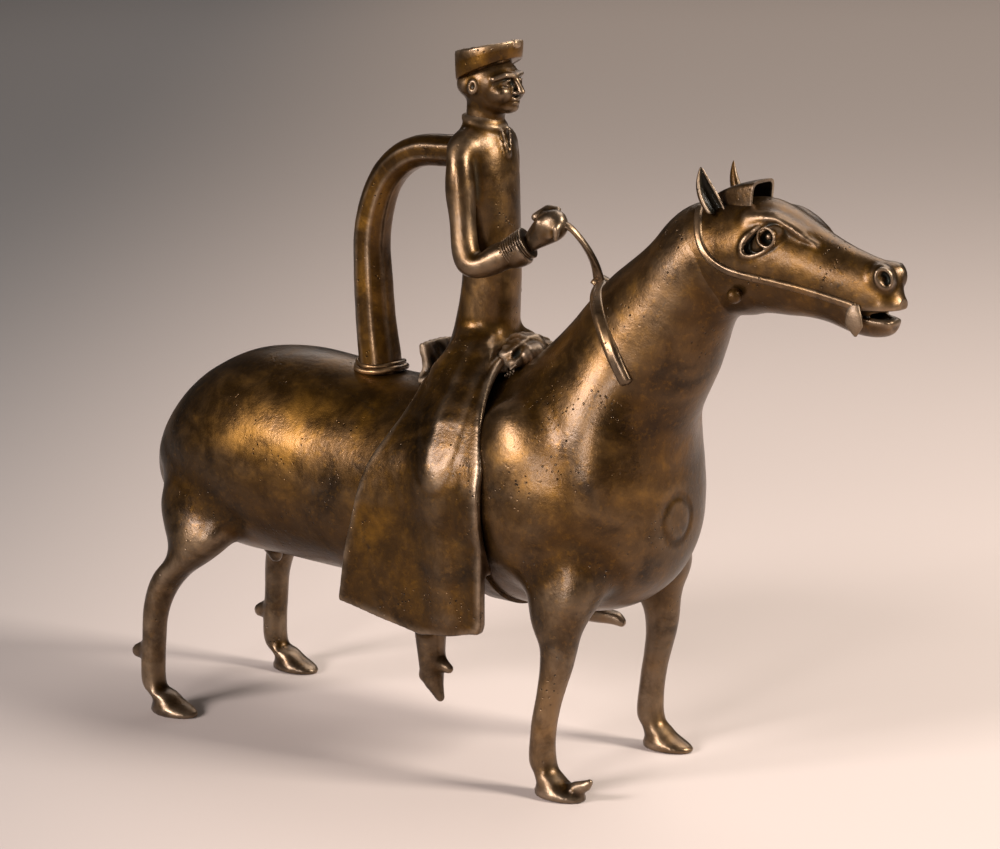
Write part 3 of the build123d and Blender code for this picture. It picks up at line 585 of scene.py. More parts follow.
def makeHorseHead():
    block = newBlock((112, -26, 213), (217, 26, 280), horse["headStep"])
    field = solidField(block, horseSkin[0], horseTriangles)
    plain = field.copy()
    # forehead and the ridge over each eye
    brow = throughRows([(146, 12.4, 265.6), (153, 11.8, 266.6), (161, 10.2, 265.2), (170, 8.6, 260.6)], 12)
    field = melt(field, string(block, brow, np.interp(np.arange(12), (0, 5, 11), (1.8, 2.8, 1.6))), 4.5)
    crest = np.array([(155.5, 266.4), (160, 266.0), (165.5, 263.6), (171, 260.2), (177.5, 256.2)])
    field = melt(field, string(block, onSkin(block, field, crest, -0.7), (0.9, 1.5, 1.7, 1.5, 0.8)), 1.6)
    # eye: deep socket, ball, lower lid, the bright rim behind, and the ringed, drilled pupil
    part = window(block, (138, -26, 244), (176, 26, 274))
    cut = part["cut"]
    eyeX, eyeZ = head["eye"]
    eyeY = float(surfaceY(block, plain, np.array([[eyeX, eyeZ]]))[0])
    near = field[cut]
    socket = lump(part, (eyeX, eyeY + 0.8, eyeZ + 1.0), (head["eyeLong"] + 0.8, 5.0, head["eyeHigh"] + 2.0),
                  head["eyeTilt"], True)
    near = carve(near, socket, 1.0)
    near = melt(near, lump(part, (eyeX, eyeY - 4.6, eyeZ - 0.2), (head["eyeLong"] - 0.8, 5.4, head["eyeHigh"]),
                           head["eyeTilt"], True), 0.4)
    rim = almond(head["eye"], head["eyeLong"] + 0.5, head["eyeHigh"] + 0.9, head["eyeTilt"], 49)
    rimPoints = onSkin(block, plain, rim, -0.5)
    lower, back = rimPoints[24:48], rimPoints[9:26]
    near = melt(near, string(part, lower, np.full(len(lower), 0.95)), 0.8)
    near = melt(near, string(part, back, np.interp(np.arange(len(back)), (0, 8, 16), (0.8, 1.5, 0.9))), 1.6)
    pupilX, pupilZ = head["iris"]
    circle = almond(head["iris"], head["irisRadius"], head["irisRadius"], 0, 25, 1.0)
    ringPoints = np.column_stack([circle[:, 0], np.full(25, eyeY + 0.7), circle[:, 1]])
    near = melt(near, string(part, ringPoints, np.full(25, 0.7)), 0.4)
    near = carve(near, rod(part, (pupilX, eyeY - 1.2, pupilZ), (pupilX, eyeY + 7, pupilZ),
                           head["irisRadius"] - 1.0, head["irisRadius"] - 0.9, True), 0.5)
    near = melt(near, lump(part, (pupilX, eyeY - 2.2, pupilZ), (1.6, 1.6, 1.6), 0, True), 0.3)
    field[cut] = near
    # nostrils, upper lip, mouth and lower lip
    part = window(block, (180, -17, 214), (217, 17, 256))
    cut = part["cut"]
    near = field[cut]
    near = melt(near, lump(part, (207.0, 5.0, 245.4), (5.4, 3.6, 5.2), -30, True), 3.5)
    ring = almond((208.9, 245.1), 2.7, 4.3, 18, 25, 1.0)
    near = melt(near, string(part, np.column_stack([ring[:, 0], 7.9 - 0.62 * (ring[:, 0] - 208.9)
                                                    - 0.12 * np.abs(ring[:, 1] - 245.1), ring[:, 1]]),
                             np.full(25, 0.85)), 0.8)
    near = carve(near, lump(part, (209.6, 8.0, 245.1), (1.8, 2.8, 3.2), 18, True), 0.5)
    near = melt(near, lump(part, (207.8, 6.2, 244.6), (1.3, 1.3, 1.8), 0, True), 0.4)
    near = melt(near, string(part, [(207, 6.4, 232.8), (211.5, 4.4, 233.2), (213.1, 1.5, 234.0),
                                    (213.2, 0, 234.2)], (1.5, 1.6, 1.5, 1.5)), 2.6)
    flatPart = dict(part, y=np.zeros_like(part["y"]))
    gape = np.minimum(rod(flatPart, (193.5, 0, 229.8), (203, 0, 228.9), 0.7, 2.0),
                      rod(flatPart, (203, 0, 228.9), (220, 0, 228.6), 2.0, 2.9))
    hollow = lump(part, (206, 0, 228.6), (10.5, 6.6, 3.0), 0)
    near = carve(near, np.maximum(np.broadcast_to(gape, near.shape), -(field[cut] + 2.0) + 0 * near), 0.8)
    near = carve(near, hollow, 1.0)
    near = np.maximum(near, -np.maximum(210.6 - part["x"], part["z"] - 228.0) + 0 * near)
    near = melt(near, string(part, [(203.0, 6.4, 226.2), (207.6, 4.6, 225.6), (209.6, 2.0, 225.4),
                                    (209.9, 0, 225.4)], (1.0, 1.3, 1.5, 1.5)), 1.6)
    field[cut] = near
    ahead = seamAhead(block)
    field = field + 0.02 * np.clip(-ahead, 0, None) ** 2
    field = np.maximum(field, -ahead - horse["seamDepth"])
    field = soften(field, 1)
    return clayPiece("head_skin", block, field, finishes["bronze"], ("horse_head",),
                     [(24, 0.12, 5), (7, 0.04, 6)], passes=2), block, plain


bodyPiece = makeHorseBody()
headPiece, headBlock, headPlain = makeHorseHead()


def ribbon(name, path, widths, heights, profile, outward, material, nodes, slot, attributes=None):
    # a profile carried along a path that lies on a skin; outward is the skin's direction at each point
    along = np.gradient(path, axis=0)
    along /= np.linalg.norm(along, axis=1)[:, None]
    side = np.cross(along, outward)
    side /= np.linalg.norm(side, axis=1)[:, None]
    rise = np.cross(side, along)
    rings = (path[:, None] + side[:, None] * (widths[:, None] * profile[None, :, 0])[..., None]
             + rise[:, None] * (heights[:, None] * profile[None, :, 1])[..., None])
    points, quads, fans, _ = closedSkin(rings)
    return points, quads, fans


def mirrored(points, faces):
    return points * np.array([1, -1, 1]), [part[:, ::-1] for part in faces]


def tidyFaces(points, faces):
    # turns the faces of a closed piece outwards
    tri = np.concatenate([np.concatenate([f[:, [0, 1, 2]], f[:, [0, 2, 3]]]) if f.shape[1] == 4 else f
                          for f in faces])
    a, b, c = points[tri[:, 0]], points[tri[:, 1]], points[tri[:, 2]]
    volume = np.einsum("ij,ij->i", a - points.mean(0), np.cross(b - points.mean(0), c - points.mean(0))).sum()
    return faces if volume > 0 else [f[:, ::-1] for f in faces]


def skinSide(spots):
    # left side of the horse's skin at rows of x and z, and the direction out of it
    ring = crossRings(skinRows, 128, skinRows[:, 5])[:, 1:64]
    flat = ring.reshape(-1, 3)
    apart = np.linalg.norm(flat[None, :, [0, 2]] - spots[:, None], axis=2)
    nearest = np.argsort(apart, axis=1)[:, :4]
    weight = 1 / (np.take_along_axis(apart, nearest, 1) + 0.05)
    out = (flat[nearest, 1] * weight).sum(1) / weight.sum(1)
    base = np.column_stack([spots[:, 0], out, spots[:, 1]])
    rowX = ring[..., 0].mean(1)
    row = np.argmin(np.abs(rowX[None] - spots[:, 0:1]), axis=1)
    middle = ring[row, 31]
    outward = base - np.column_stack([spots[:, 0], 0 * out, middle[:, 2]])
    outward[:, 0] = 0
    return base, outward / np.linalg.norm(outward, axis=1)[:, None]


# ---- bridle, reins and the small pieces of the head
strap = {"bridle": [(117.5, 268.8), (120.5, 263.8), (123.6, 256.8), (128.8, 249.4), (138.5, 244.0),
                    (150.0, 241.6), (162.0, 239.8), (172.0, 238.0), (185.0, 235.2), (197.5, 232.2)],
         "bridleWide": 2.0, "bridleHigh": 1.5,
         "neck": [(60, 229.6), (70, 224.5), (78, 217), (84, 209.5), (89.7, 200.5), (95.5, 190.5)],
         "neckWide": 3.5, "neckHigh": 2.4}


def strapProfile(count):
    # raised strap: flat underneath, a rounded top with a shallow groove along each side
    turn = np.linspace(0, 2 * np.pi, count, endpoint=False)
    u, v = np.cos(turn), np.sin(turn)
    return np.stack([u, np.where(v > 0, v * (1 + 0.10 * np.cos(turn * 6)), v * 0.5)], -1)


def makeStraps():
    for key, count in (("bridle", 90), ("neck", 60)):
        spots = throughRows(strap[key], count)
        base, outward = skinSide(spots)
        for _ in range(3):
            base[1:-1, 1] = (base[:-2, 1] + base[1:-1, 1] * 2 + base[2:, 1]) / 4
        ends = np.minimum(1, np.minimum(np.arange(count), np.arange(count)[::-1]) / 1.5 + 0.45)
        points, quads, fans = ribbon(key, base - outward * 0.2, strap[key + "Wide"] * ends,
                                     strap[key + "High"] * ends, strapProfile(20), outward, None, (), "")
        faces = tidyFaces(points, [quads, fans])
        wear = np.full(len(points), 0.35)
        name = {"bridle": "bridle", "neck": "neck_rein"}[key]
        addPiece(name + "_strap_left", points, faces, finishes["bronze_worn"], (name + "_left",),
                 {"wear": wear})
        other, otherFaces = mirrored(points, faces)
        addPiece(name + "_strap_right", other, otherFaces, finishes["bronze_worn"], (name + "_right",),
                 {"wear": wear})


makeStraps()
ear = {"foot": (129.5, 12.0, 266.5), "tip": (122.0, 13.4, 286.2), "wide": 6.3, "deep": 4.4, "wall": 1.15,
       "open": 0.62, "bow": 1.6}


def makeEars():
    # leaf-shaped shell: half width wide * (1 - t)^0.7 * (0.75 + 1.1 t - 0.8 t^2); each level is an arc
    # with its opening turned forwards and outwards, drawn back at its own radius less the wall
    rise = np.linspace(0, 0.985, 26)
    foot, tip = np.array(ear["foot"]), np.array(ear["tip"])
    axis = foot + (tip - foot) * rise[:, None] + np.array([-1, 0, 0]) * (ear["bow"] * np.sin(np.pi * rise))[:, None]
    half = ear["wide"] * (1 - rise) ** 0.7 * (0.75 + 1.1 * rise - 0.8 * rise ** 2)
    turn = np.linspace(-2.05, 2.05, 25)
    face = np.array([0.86, 0.51, 0.1])
    face /= np.linalg.norm(face)
    side = np.cross(face, [0, 0, 1])
    side /= np.linalg.norm(side)

    def arc(size, deep):
        return (axis[:, None] + side * (size[:, None] * np.sin(turn))[..., None]
                - face * (deep[:, None] * np.cos(turn))[..., None])

    outer = arc(half, half * ear["deep"] / ear["wide"])
    wall = np.minimum(ear["wall"], half * 0.55)
    inner = arc(half - wall, (half - wall) * ear["deep"] / ear["wide"] - 0.15)
    rings = np.concatenate([outer, inner[:, ::-1]], axis=1)
    points, quads, fans, _ = closedSkin(rings)
    faces = tidyFaces(points, [quads, fans])
    around = rings.shape[1]
    place = np.concatenate([np.tile(np.arange(around), len(rise)), [0, 0]])
    inside = np.concatenate([np.tile(np.arange(around) >= 27, len(rise)), [False, False]])
    rim = np.isin(place, (0, 1, 23, 24, 25, 26, 48, 49))
    worn = {"wear": np.where(rim, 1.0, 0.0), "hollow": np.where(inside & ~rim, 0.9, 0.0)}
    addPiece("ear_leaf_left", points, faces, finishes["bronze_dark"], ("ear_left",), worn)
    other, otherFaces = mirrored(points, faces)
    addPiece("ear_leaf_right", other, otherFaces, finishes["bronze_dark"], ("ear_right",), worn)


makeEars()
spout = {"back": 123.5, "front": 144.6, "floor": 272.6, "wide": 9.2, "high": 8.4, "wall": 1.3, "power": 5.0}


def makeSpout():
    # hood between the ears: flat-topped arches, |y / w|^n + |z / h|^n = 1, rising from the poll to the mouth
    go = np.linspace(0, 1, 30)
    x = spout["back"] + (spout["front"] - spout["back"]) * go
    grow = 0.30 + 0.70 * np.sin(go * np.pi / 2) ** 0.9
    turn = np.linspace(0, np.pi, 33)

    def arch(wide, high):
        u = np.sign(np.cos(turn)) * np.abs(np.cos(turn)) ** (2 / spout["power"])
        v = np.abs(np.sin(turn)) ** (2 / spout["power"])
        return np.stack([np.repeat(x[:, None], 33, 1) + 0.12 * (high[:, None] * v), wide[:, None] * u,
                         spout["floor"] - 2.2 * (1 - go[:, None]) + high[:, None] * v], -1)

    outer = arch(spout["wide"] * grow, spout["high"] * (0.15 + 0.85 * grow))
    inner = arch(spout["wide"] * grow - spout["wall"], spout["high"] * (0.15 + 0.85 * grow) - spout["wall"])
    outer[..., 2] -= np.where(np.sin(turn) < 1e-6, 2.0, 0.0)
    inner[..., 2] -= np.where(np.sin(turn) < 1e-6, 2.0, 0.0)
    rings = np.concatenate([outer, inner[:, ::-1]], axis=1)
    points, quads, fans, _ = closedSkin(rings)
    # the two end bands are closed by quads between the outer and the inner arch
    ends = []
    for base in (0, (len(go) - 1) * 66):
        step = np.arange(32)
        ends.append(np.stack([base + step, base + step + 1, base + 65 - step - 1, base + 65 - step], -1))
    ends[0] = ends[0][:, ::-1]
    points = points[:-2]
    faces = tidyFaces(points, [quads, ends[0], ends[1]])
    inside = np.tile(np.arange(66) >= 33, len(go))
    frontEdge = np.repeat(go > 0.97, 66)
    addPiece("spout_scoop", points, faces, finishes["bronze_dark"], ("spout_hood",),
             {"wear": np.where(frontEdge, 1.0, 0.15), "hollow": np.where(inside & ~frontEdge, 0.7, 0.0)}, sharp=50)


makeSpout()
bitTab = {"path": [(196.8, 10.4, 233.6), (196.9, 11.3, 229.5), (197.2, 11.2, 224.5), (197.6, 10.6, 219.9)],
          "wide": (2.2, 3.9, 4.3, 0.6), "thick": (1.2, 1.35, 1.2, 0.5)}


def makeBitTabs():
    # leaf of a bit cheek: rounded bar profile carried down beside the mouth, widest low down
    path = throughRows(bitTab["path"], 22)
    share = np.linspace(0, 3, 22)
    wide, thick = np.interp(share, range(4), bitTab["wide"]), np.interp(share, range(4), bitTab["thick"])
    rings = carriedProfile(path, wide, thick, roundProfile(20), np.tile([1.0, 0, 0], (22, 1)),
                           np.tile([0, 1.0, 0], (22, 1)))
    points, quads, fans, _ = closedSkin(rings)
    faces = tidyFaces(points, [quads, fans])
    for side, sign in (("left", 1), ("right", -1)):
        spots, parts = (points, faces) if sign > 0 else mirrored(points, faces)
        addPiece("bit_leaf_" + side, spots, parts, finishes["bronze_dark"], ("bit_cheek_" + side,),
                 {"wear": np.full(len(spots), 0.5)})


makeBitTabs()

# ---- rider: body, sleeves, robe, hands and feet in one skin
rider = {"step": 0.85,
         "torso": [(170, -1.0, 21, 18), (188, -1.5, 18, 17), (196, -1.0, 16, 15.5), (210, 1.0, 14.2, 14.4),
                   (228, 2.6, 13.1, 13.7), (247, 2.6, 12.2, 14.7), (266, 1.6, 12.2, 16), (281, 0, 11.6, 16.3),
                   (288, -1.2, 10.4, 13.5), (292, -1.6, 8.9, 9.7), (299, -1.2, 8.6, 8.6)],
         "nearFoot": [(-2, 84, 7.4), (-1, 67, 7.4), (-0.6, 58, 6.4), (-0.4, 51, 5.8), (0.8, 44, 4.6), (4.2, 37, 2.4)],
         "slopeZ": (80, 121, 137, 145, 156, 167, 174, 183, 192, 200, 206),
         "slopeY": ((62, 62, 61, 55, 46.5, 37.5, 30.5, 23.5, 19.5, 17.5, 20),
                    (62, 62, 61, 58, 53, 47.5, 42, 34.5, 26, 19.5, 21),
                    (62, 62, 61, 56, 51, 46, 41.5, 33, 21, 17, 20)),
         "collar": (-1.5, 296.0, 10.0, 9.6, 2.4)}


def makeRider():
    block = newBlock((-50, -63, 30), (62, 63, 301), rider["step"])
    rows = throughRows(rider["torso"], 100)
    turn = np.linspace(0, 2 * np.pi, 72, endpoint=False)[None]
    rings = np.stack([rows[:, 1:2] + rows[:, 2:3] * np.cos(turn), rows[:, 3:4] * np.sin(turn),
                      np.repeat(rows[:, :1], 72, 1)], -1)
    points, _, _, triangles = closedSkin(rings)
    field = solidField(block, points, triangles)
    for name, radius in (("rider_arm_left", 2.5), ("rider_arm_right", 2.5), ("rider_hand_left", 1.0),
                         ("rider_hand_right", 1.0), ("rider_robe_left", 9.0), ("rider_robe_right", 9.0),
                         ("rider_foot_left", 2.0)):
        field = melt(field, nodeField(block, name), radius)
    # near foot, hooked down with a bump over the toes
    part = window(block, (-14, -60, 30), (22, -30, 96))
    near = field[part["cut"]]
    foot = [(x, -43, z) for x, z, _ in rider["nearFoot"]]
    near = melt(near, string(part, foot, [row[2] for row in rider["nearFoot"]], False), 1.5)
    near = melt(near, string(part, [(0.5, -43, 54.5), (9.2, -43, 51.2)], (5.0, 2.3), False), 2.0)
    near = melt(near, lump(part, (-3.4, -43, 46.5), (3.4, 4.2, 3.2)), 2.0)
    field[part["cut"]] = near
    part = window(block, (-24, -30, 270), (24, 30, 301))
    near = field[part["cut"]]
    near = melt(near, rod(part, (-1.8, 0, 290.6), (-2.6, 12.0, 285.0), 9.4, 7.6, True), 4.0)
    field[part["cut"]] = near
    # fingers and thumb closed round the rein
    part = window(block, (28, -30, 240), (60, 0, 268))
    near = field[part["cut"]]
    near = melt(near, lump(part, (45.6, -15.4, 255.2), (7.6, 5.2, 5.6), 24), 2.0)
    for place in range(4):
        x, z = 40.8 + 3.3 * place, 259.4 - 0.8 * place
        near = melt(near, string(part, [(x, -14.0, z), (x + 0.9, -20.0, z - 3.4), (x + 0.2, -19.2, z - 8.4)],
                                 (1.2, 1.35, 1.2), False), 0.5)
    near = melt(near, string(part, [(35.5, -13.0, 256.8), (40.5, -10.2, 260.6), (46.0, -10.2, 260.8)],
                             (2.0, 2.1, 1.6), False), 1.0)
    field[part["cut"]] = near
    # collar round the neck, and the two raised edges of the slit below it
    part = window(block, (-18, -15, 276), (20, 15, 301))
    near = field[part["cut"]]
    x, z, long, wide, tilt = rider["collar"]
    turn = np.linspace(0, 2 * np.pi, 29)
    loop = np.stack([x + long * np.cos(turn), wide * np.sin(turn), z - tilt * np.cos(turn)], -1)
    near = melt(near, string(part, loop, np.full(29, 0.9), False), 1.6)
    near = melt(near, string(part, [(10.2, 3.0, 293.4), (11.6, 2.0, 287), (12.2, 0.9, 281.6)], (0.9, 0.9, 0.7)), 1.0)
    near = carve(near, string(part, [(12.6, 0, 293), (13.6, 0, 286), (13.6, 0, 282.6)], (1.8, 1.1, 0.6), False), 0.5)
    field[part["cut"]] = near
    # the leg shows through the robe as a soft ridge down to the hem; above it the robe slopes in to the
    # waist, further at the back than at the front
    part = window(block, (-50, -63, 66), (50, 63, 206))
    near = field[part["cut"]]
    ridge = string(part, [(5, 36, 168), (9, 44.6, 138), (13.5, 47.4, 106), (16, 48.4, 80)], (13.5, 9.8, 7.4, 6.0))
    near = melt(near, np.maximum(ridge, 74 - part["z"]), 9.0)
    level = part["z"].ravel()
    slopes = [np.interp(level, rider["slopeZ"], row) for row in rider["slopeY"]]
    share = np.clip((part["x"] + 20) / 26, 0, 1), np.clip((part["x"] - 6) / 18, 0, 1)
    limit = slopes[0] + (slopes[1] - slopes[0]) * share[0] + (slopes[2] - slopes[1]) * share[1]
    near = -melt(-near, -(np.abs(part["y"]) - limit).astype(np.float32) * 0.75, 3.0)
    front = part["x"] - (35.2 - np.clip(part["z"] - 148, 0, None) * 0.34)
    near = -melt(-near, -(front + 0 * near), 1.5)
    field[part["cut"]] = near
    field = soften(field, 1)
    return clayPiece("rider_skin", block, field, finishes["bronze"],
                     ("rider_torso", "rider_arm_left", "rider_arm_right", "rider_hand_left", "rider_hand_right",
                      "rider_robe_left", "rider_robe_right", "rider_foot_left", "rider_foot_right"),
                     [(22, 0.18, 11), (8, 0.05, 12)], passes=2)


makeRider()


def makeRiderHead():
    # calm, plain face on even proportions: eyes half way up, nose and mouth at thirds below the brow
    block = newBlock((-20, -18, 289), (22, 18, 329), 0.4)
    # the head is low and set a little forward: heights are drawn together towards the cap
    whole = block
    block = dict(whole, x=whole["x"] - 1.8, z=322 - (322 - whole["z"]) / 0.82)
    field = lump(block, (-0.2, 0, 312.5), (14.2, 12.3, 14.6))
    field = melt(field, lump(block, (4.6, 0, 303.6), (9.4, 8.8, 8.6)), 4.0)
    field = melt(field, rod(whole, (-1.6, 0, 286), (-0.6, 0, 306), 9.0, 8.6), 2.5)
    field = melt(field, lump(block, (11.0, 0, 298.8), (3.4, 3.8, 3.0)), 3.0)
    field = melt(field, lump(block, (9.2, 5.8, 307.0), (4.4, 4.0, 4.2), 0, True), 3.0)
    field = melt(field, string(block, [(13.6, 1.6, 316.4), (12.4, 6.2, 317.0), (8.8, 9.8, 315.0)],
                               (1.1, 1.3, 0.9)), 2.2)
    field = carve(field, lump(block, (13.8, 5.0, 312.7), (2.6, 3.5, 2.3), 0, True), 1.4)
    field = melt(field, lump(block, (10.6, 4.9, 312.5), (2.7, 2.9, 1.9), 0, True), 0.4)
    for height, reach in ((1.5, 0.55), (-1.5, 0.5)):
        lid = [(12.0, 2.2, 312.4), (13.5, 3.6, 312.5 + height), (13.3, 5.6, 312.6 + height), (11.2, 7.8, 312.4)]
        field = melt(field, string(block, lid, (0.35, reach, reach, 0.35)), 0.4)
    field = melt(field, string(block, [(13.6, 0, 315.4), (15.4, 0, 311.5), (17.2, 0, 307.8)], (1.2, 1.35, 1.6),
                               False), 1.6)
    field = melt(field, lump(block, (15.2, 1.9, 307.2), (1.7, 1.3, 1.2), 0, True), 0.8)
    field = melt(field, string(block, [(14.6, 0, 303.7), (14.2, 2.0, 303.8), (12.8, 3.9, 302.9)], (0.95, 0.9, 0.4)),
                 0.8)
    field = melt(field, string(block, [(14.2, 0, 301.5), (13.8, 1.8, 301.6), (12.6, 3.5, 302.5)], (1.15, 1.0, 0.4)),
                 0.8)
    field = carve(field, string(block, [(15.6, 0, 302.6), (15.0, 2.0, 302.7), (13.6, 4.1, 302.5)],
                                (0.45, 0.45, 0.3)), 0.4)
    field = melt(field, lump(block, (-1.0, 12.2, 310.4), (2.8, 1.7, 4.4), -8, True), 0.8)
    field = carve(field, lump(block, (-0.5, 14.2, 310.8), (1.4, 1.5, 2.6), -8, True), 0.6)
    field = melt(field, lump(block, (-6.0, 0, 311.0), (9.0, 12.4, 9.4)), 1.2)
    field = soften(field, 1)
    return clayPiece("rider_face", whole, field, finishes["bronze"], ("rider_head",),
                     [(7, 0.05, 21)], passes=1)


makeRiderHead()
cap = {"x": 1.0, "foot": 319.6, "footPitch": 22.0, "rim": 330.2, "rimPitch": 11.5, "radius": 15.4, "wall": 1.8,
       "floor": 2.6, "bore": 4.5}


def makeCap():
    # lathe with two slopes: each point of the profile has a radius and a share between the tilted foot
    # and the tilted rim, and the rim is nicked by waves
    r, wall = cap["radius"], cap["wall"]
    profile = np.array([(cap["bore"], 0.02), (r - 3, 0.0), (r - 1.0, 0.0), (r - 0.4, 0.06), (r - 0.2, 0.3),
                        (r, 0.7), (r, 0.93), (r - 0.3, 0.99), (r - 0.9, 1.0), (r - wall + 0.2, 0.985),
                        (r - wall, 0.9), (r - wall - 0.3, 0.5), (r - wall - 0.8, 0.33), (r - 5, 0.27),
                        (cap["bore"] + 0.4, 0.27), (cap["bore"], 0.22)])
    around = 220
    profile = throughRows(np.concatenate([profile, profile[:1]]), 73)[:-1]
    turn = np.linspace(0, 2 * np.pi, around, endpoint=False)
    x = profile[:, :1] * np.cos(turn)
    foot = cap["foot"] + x * math.tan(math.radians(cap["footPitch"]))
    rim = cap["rim"] + x * math.tan(math.radians(cap["rimPitch"]))
    grid = np.stack([cap["x"] + x, profile[:, :1] * np.sin(turn), foot + (rim - foot) * profile[:, 1:]], -1)
    top = np.clip((profile[:, 1] - 0.8) / 0.2, 0, 1)[:, None]
    nick = 0.16 * waves(np.column_stack([15 * np.cos(turn), 15 * np.sin(turn), 0 * turn]), 3.0, 31, 9) - 0.1
    grid[..., 2] += top * nick
    points = grid.reshape(-1, 3)
    rows = np.arange(72)
    row, place = np.meshgrid(rows, np.arange(around), indexing="ij")
    ahead, beside = (row + 1) % 72, (place + 1) % around
    quads = np.stack([row * around + place, row * around + beside, ahead * around + beside,
                      ahead * around + place], -1).reshape(-1, 4)
    faces = tidyFaces(points, [quads])
    inside = (np.arange(72) > 40)[:, None] * np.ones(around)
    addPiece("cap_ring", points, faces, finishes["bronze_worn"], ("rider_cap",),
             {"wear": np.clip(top * np.ones(around) * 1.2, 0, 1).ravel(), "hollow": inside.ravel() * 0.8})


makeCap()
handle = {"rows": [(-61, 163, 19.6), (-61.8, 179, 19.6), (-63.7, 193.5, 18.6), (-65.8, 221.7, 17.6),
                   (-66, 238, 16.8), (-63.1, 252.5, 16.0), (-57.2, 265.6, 15.2), (-48.4, 274.6, 14.8),
                   (-38, 279.6, 14.5), (-24.9, 281, 14.5), (-9, 281.4, 14.5)],
          "soft": 0.4, "ringRadii": (11.8, 10.7), "ringRise": (1.0, 3.0), "ringTube": (1.3, 1.05)}


def makeHandle():
    # eight flats with softened corners: reach = half width / cos(turn from the nearest flat), drawn
    # part of the way back to a circle, carried along the bar's course
    rows = throughRows(handle["rows"], 230)
    path = np.stack([rows[:, 0], 0 * rows[:, 0], rows[:, 1]], -1)
    turn = np.linspace(0, 2 * np.pi, 64, endpoint=False)
    off = (turn + np.pi / 8) % (np.pi / 4) - np.pi / 8
    reach = (1 - handle["soft"]) / np.cos(off) + handle["soft"] * 1.02
    profile = np.stack([reach * np.cos(turn), reach * np.sin(turn)], -1)
    half = rows[:, 2] / 2
    along = np.gradient(path, axis=0)
    along /= np.linalg.norm(along, axis=1)[:, None]
    side = np.tile([0, 1.0, 0], (230, 1))
    rings = carriedProfile(path, half, half, profile, side, np.cross(side, along))
    points, quads, fans, _ = closedSkin(rings)
    faces = tidyFaces(points, [quads, fans])
    centre = np.repeat(path, 64, axis=0)
    outward = points[:len(centre)] - centre
    outward /= np.linalg.norm(outward, axis=1)[:, None]
    points[:len(centre)] += outward * (0.22 * waves(centre, 26, 41) + 0.06 * waves(points[:len(centre)], 6, 42))[:, None]
    edge = np.clip((reach - 1.02) * 22, 0, 1)
    addPiece("handle_bar", points, faces, finishes["bronze"], ("handle",),
             {"wear": np.concatenate([np.tile(edge, len(path)), [0, 0]])})
    # crude rings round its foot, laid on the back and uneven
    total, parts, count = [], [], 0
    for radius, rise, tube, seed in zip(handle["ringRadii"], handle["ringRise"], handle["ringTube"], (51, 52)):
        turn = np.linspace(0, 2 * np.pi, 120, endpoint=False)
        uneven = waves(np.column_stack([12 * np.cos(turn), 12 * np.sin(turn), 0 * turn]), 11, seed)
        reach = radius + 0.5 * uneven
        x, y = -61.3 + reach * np.cos(turn), reach * np.sin(turn)
        z = 127 + 49.8 * np.sqrt(1 - (y / 47.5) ** 2) + rise - 0.4 + 0.35 * uneven
        small = np.linspace(0, 2 * np.pi, 24, endpoint=False)
        size = tube * (1 + 0.16 * np.roll(uneven, 17))
        out = np.stack([np.cos(turn), np.sin(turn), 0 * turn], -1)
        grid = (np.stack([x, y, z], -1)[:, None] + out[:, None] * (size[:, None] * np.cos(small))[..., None]
                + np.array([0, 0, 1]) * (size[:, None] * np.sin(small))[..., None])
        row, place = np.meshgrid(np.arange(120), np.arange(24), indexing="ij")
        quads = np.stack([row * 24 + place, row * 24 + (place + 1) % 24, ((row + 1) % 120) * 24 + (place + 1) % 24,
                          ((row + 1) % 120) * 24 + place], -1).reshape(-1, 4)
        flat = grid.reshape(-1, 3)
        parts.append(tidyFaces(flat, [quads])[0] + count)
        total.append(flat)
        count += len(flat)
    points = np.concatenate(total)
    addPiece("collar_rings", points, parts, finishes["bronze_worn"], ("handle_collar",),
             {"wear": np.full(len(points), 0.4)})


makeHandle()


def makeStub():
    # worn stump of the hinge on the front of the rim: |x|^n + |y|^n + |z|^n = 1 with n = 3
    up, turn = np.linspace(-1.45, 1.45, 24)[:, None], np.linspace(0, 2 * np.pi, 40, endpoint=False)[None]
    away = np.stack([np.cos(up) * np.cos(turn), np.cos(up) * np.sin(turn), np.sin(up) + 0 * turn], -1)
    away /= (np.abs(away) ** 3).sum(-1, keepdims=True) ** (1 / 3)
    points, quads, fans, _ = closedSkin(away * np.array([1.9, 2.7, 2.0]) + np.array([15.4, 0, 331.6]))
    addPiece("hinge_stub", points, tidyFaces(points, [quads, fans]), finishes["bronze_worn"], ("cap_hinge_lug",),
             {"wear": np.full(len(points), 0.7)})


makeStub()


def makeHandRein():
    # flattened strand from the fist to the crest, with a ridge along its top
    path = throughRows([(47, -14.6, 255.2), (52, -13.6, 254.4), (56.5, -10.5, 249.5), (60, -6.5, 241.7),
                        (61.8, -3, 233.6), (62, -0.8, 226), (62, -0.5, 219)], 80)
    share = np.linspace(0, 1, 80)
    rings = carriedProfile(path, 2.5 + 0.6 * share, 2.1 - 0.2 * share, strapProfile(24))
    points, quads, fans, _ = closedSkin(rings)
    addPiece("rein_strand", points, tidyFaces(points, [quads, fans]), finishes["bronze_worn"], ("hand_rein",),
             {"wear": np.full(len(points), 0.45)})


makeHandRein()


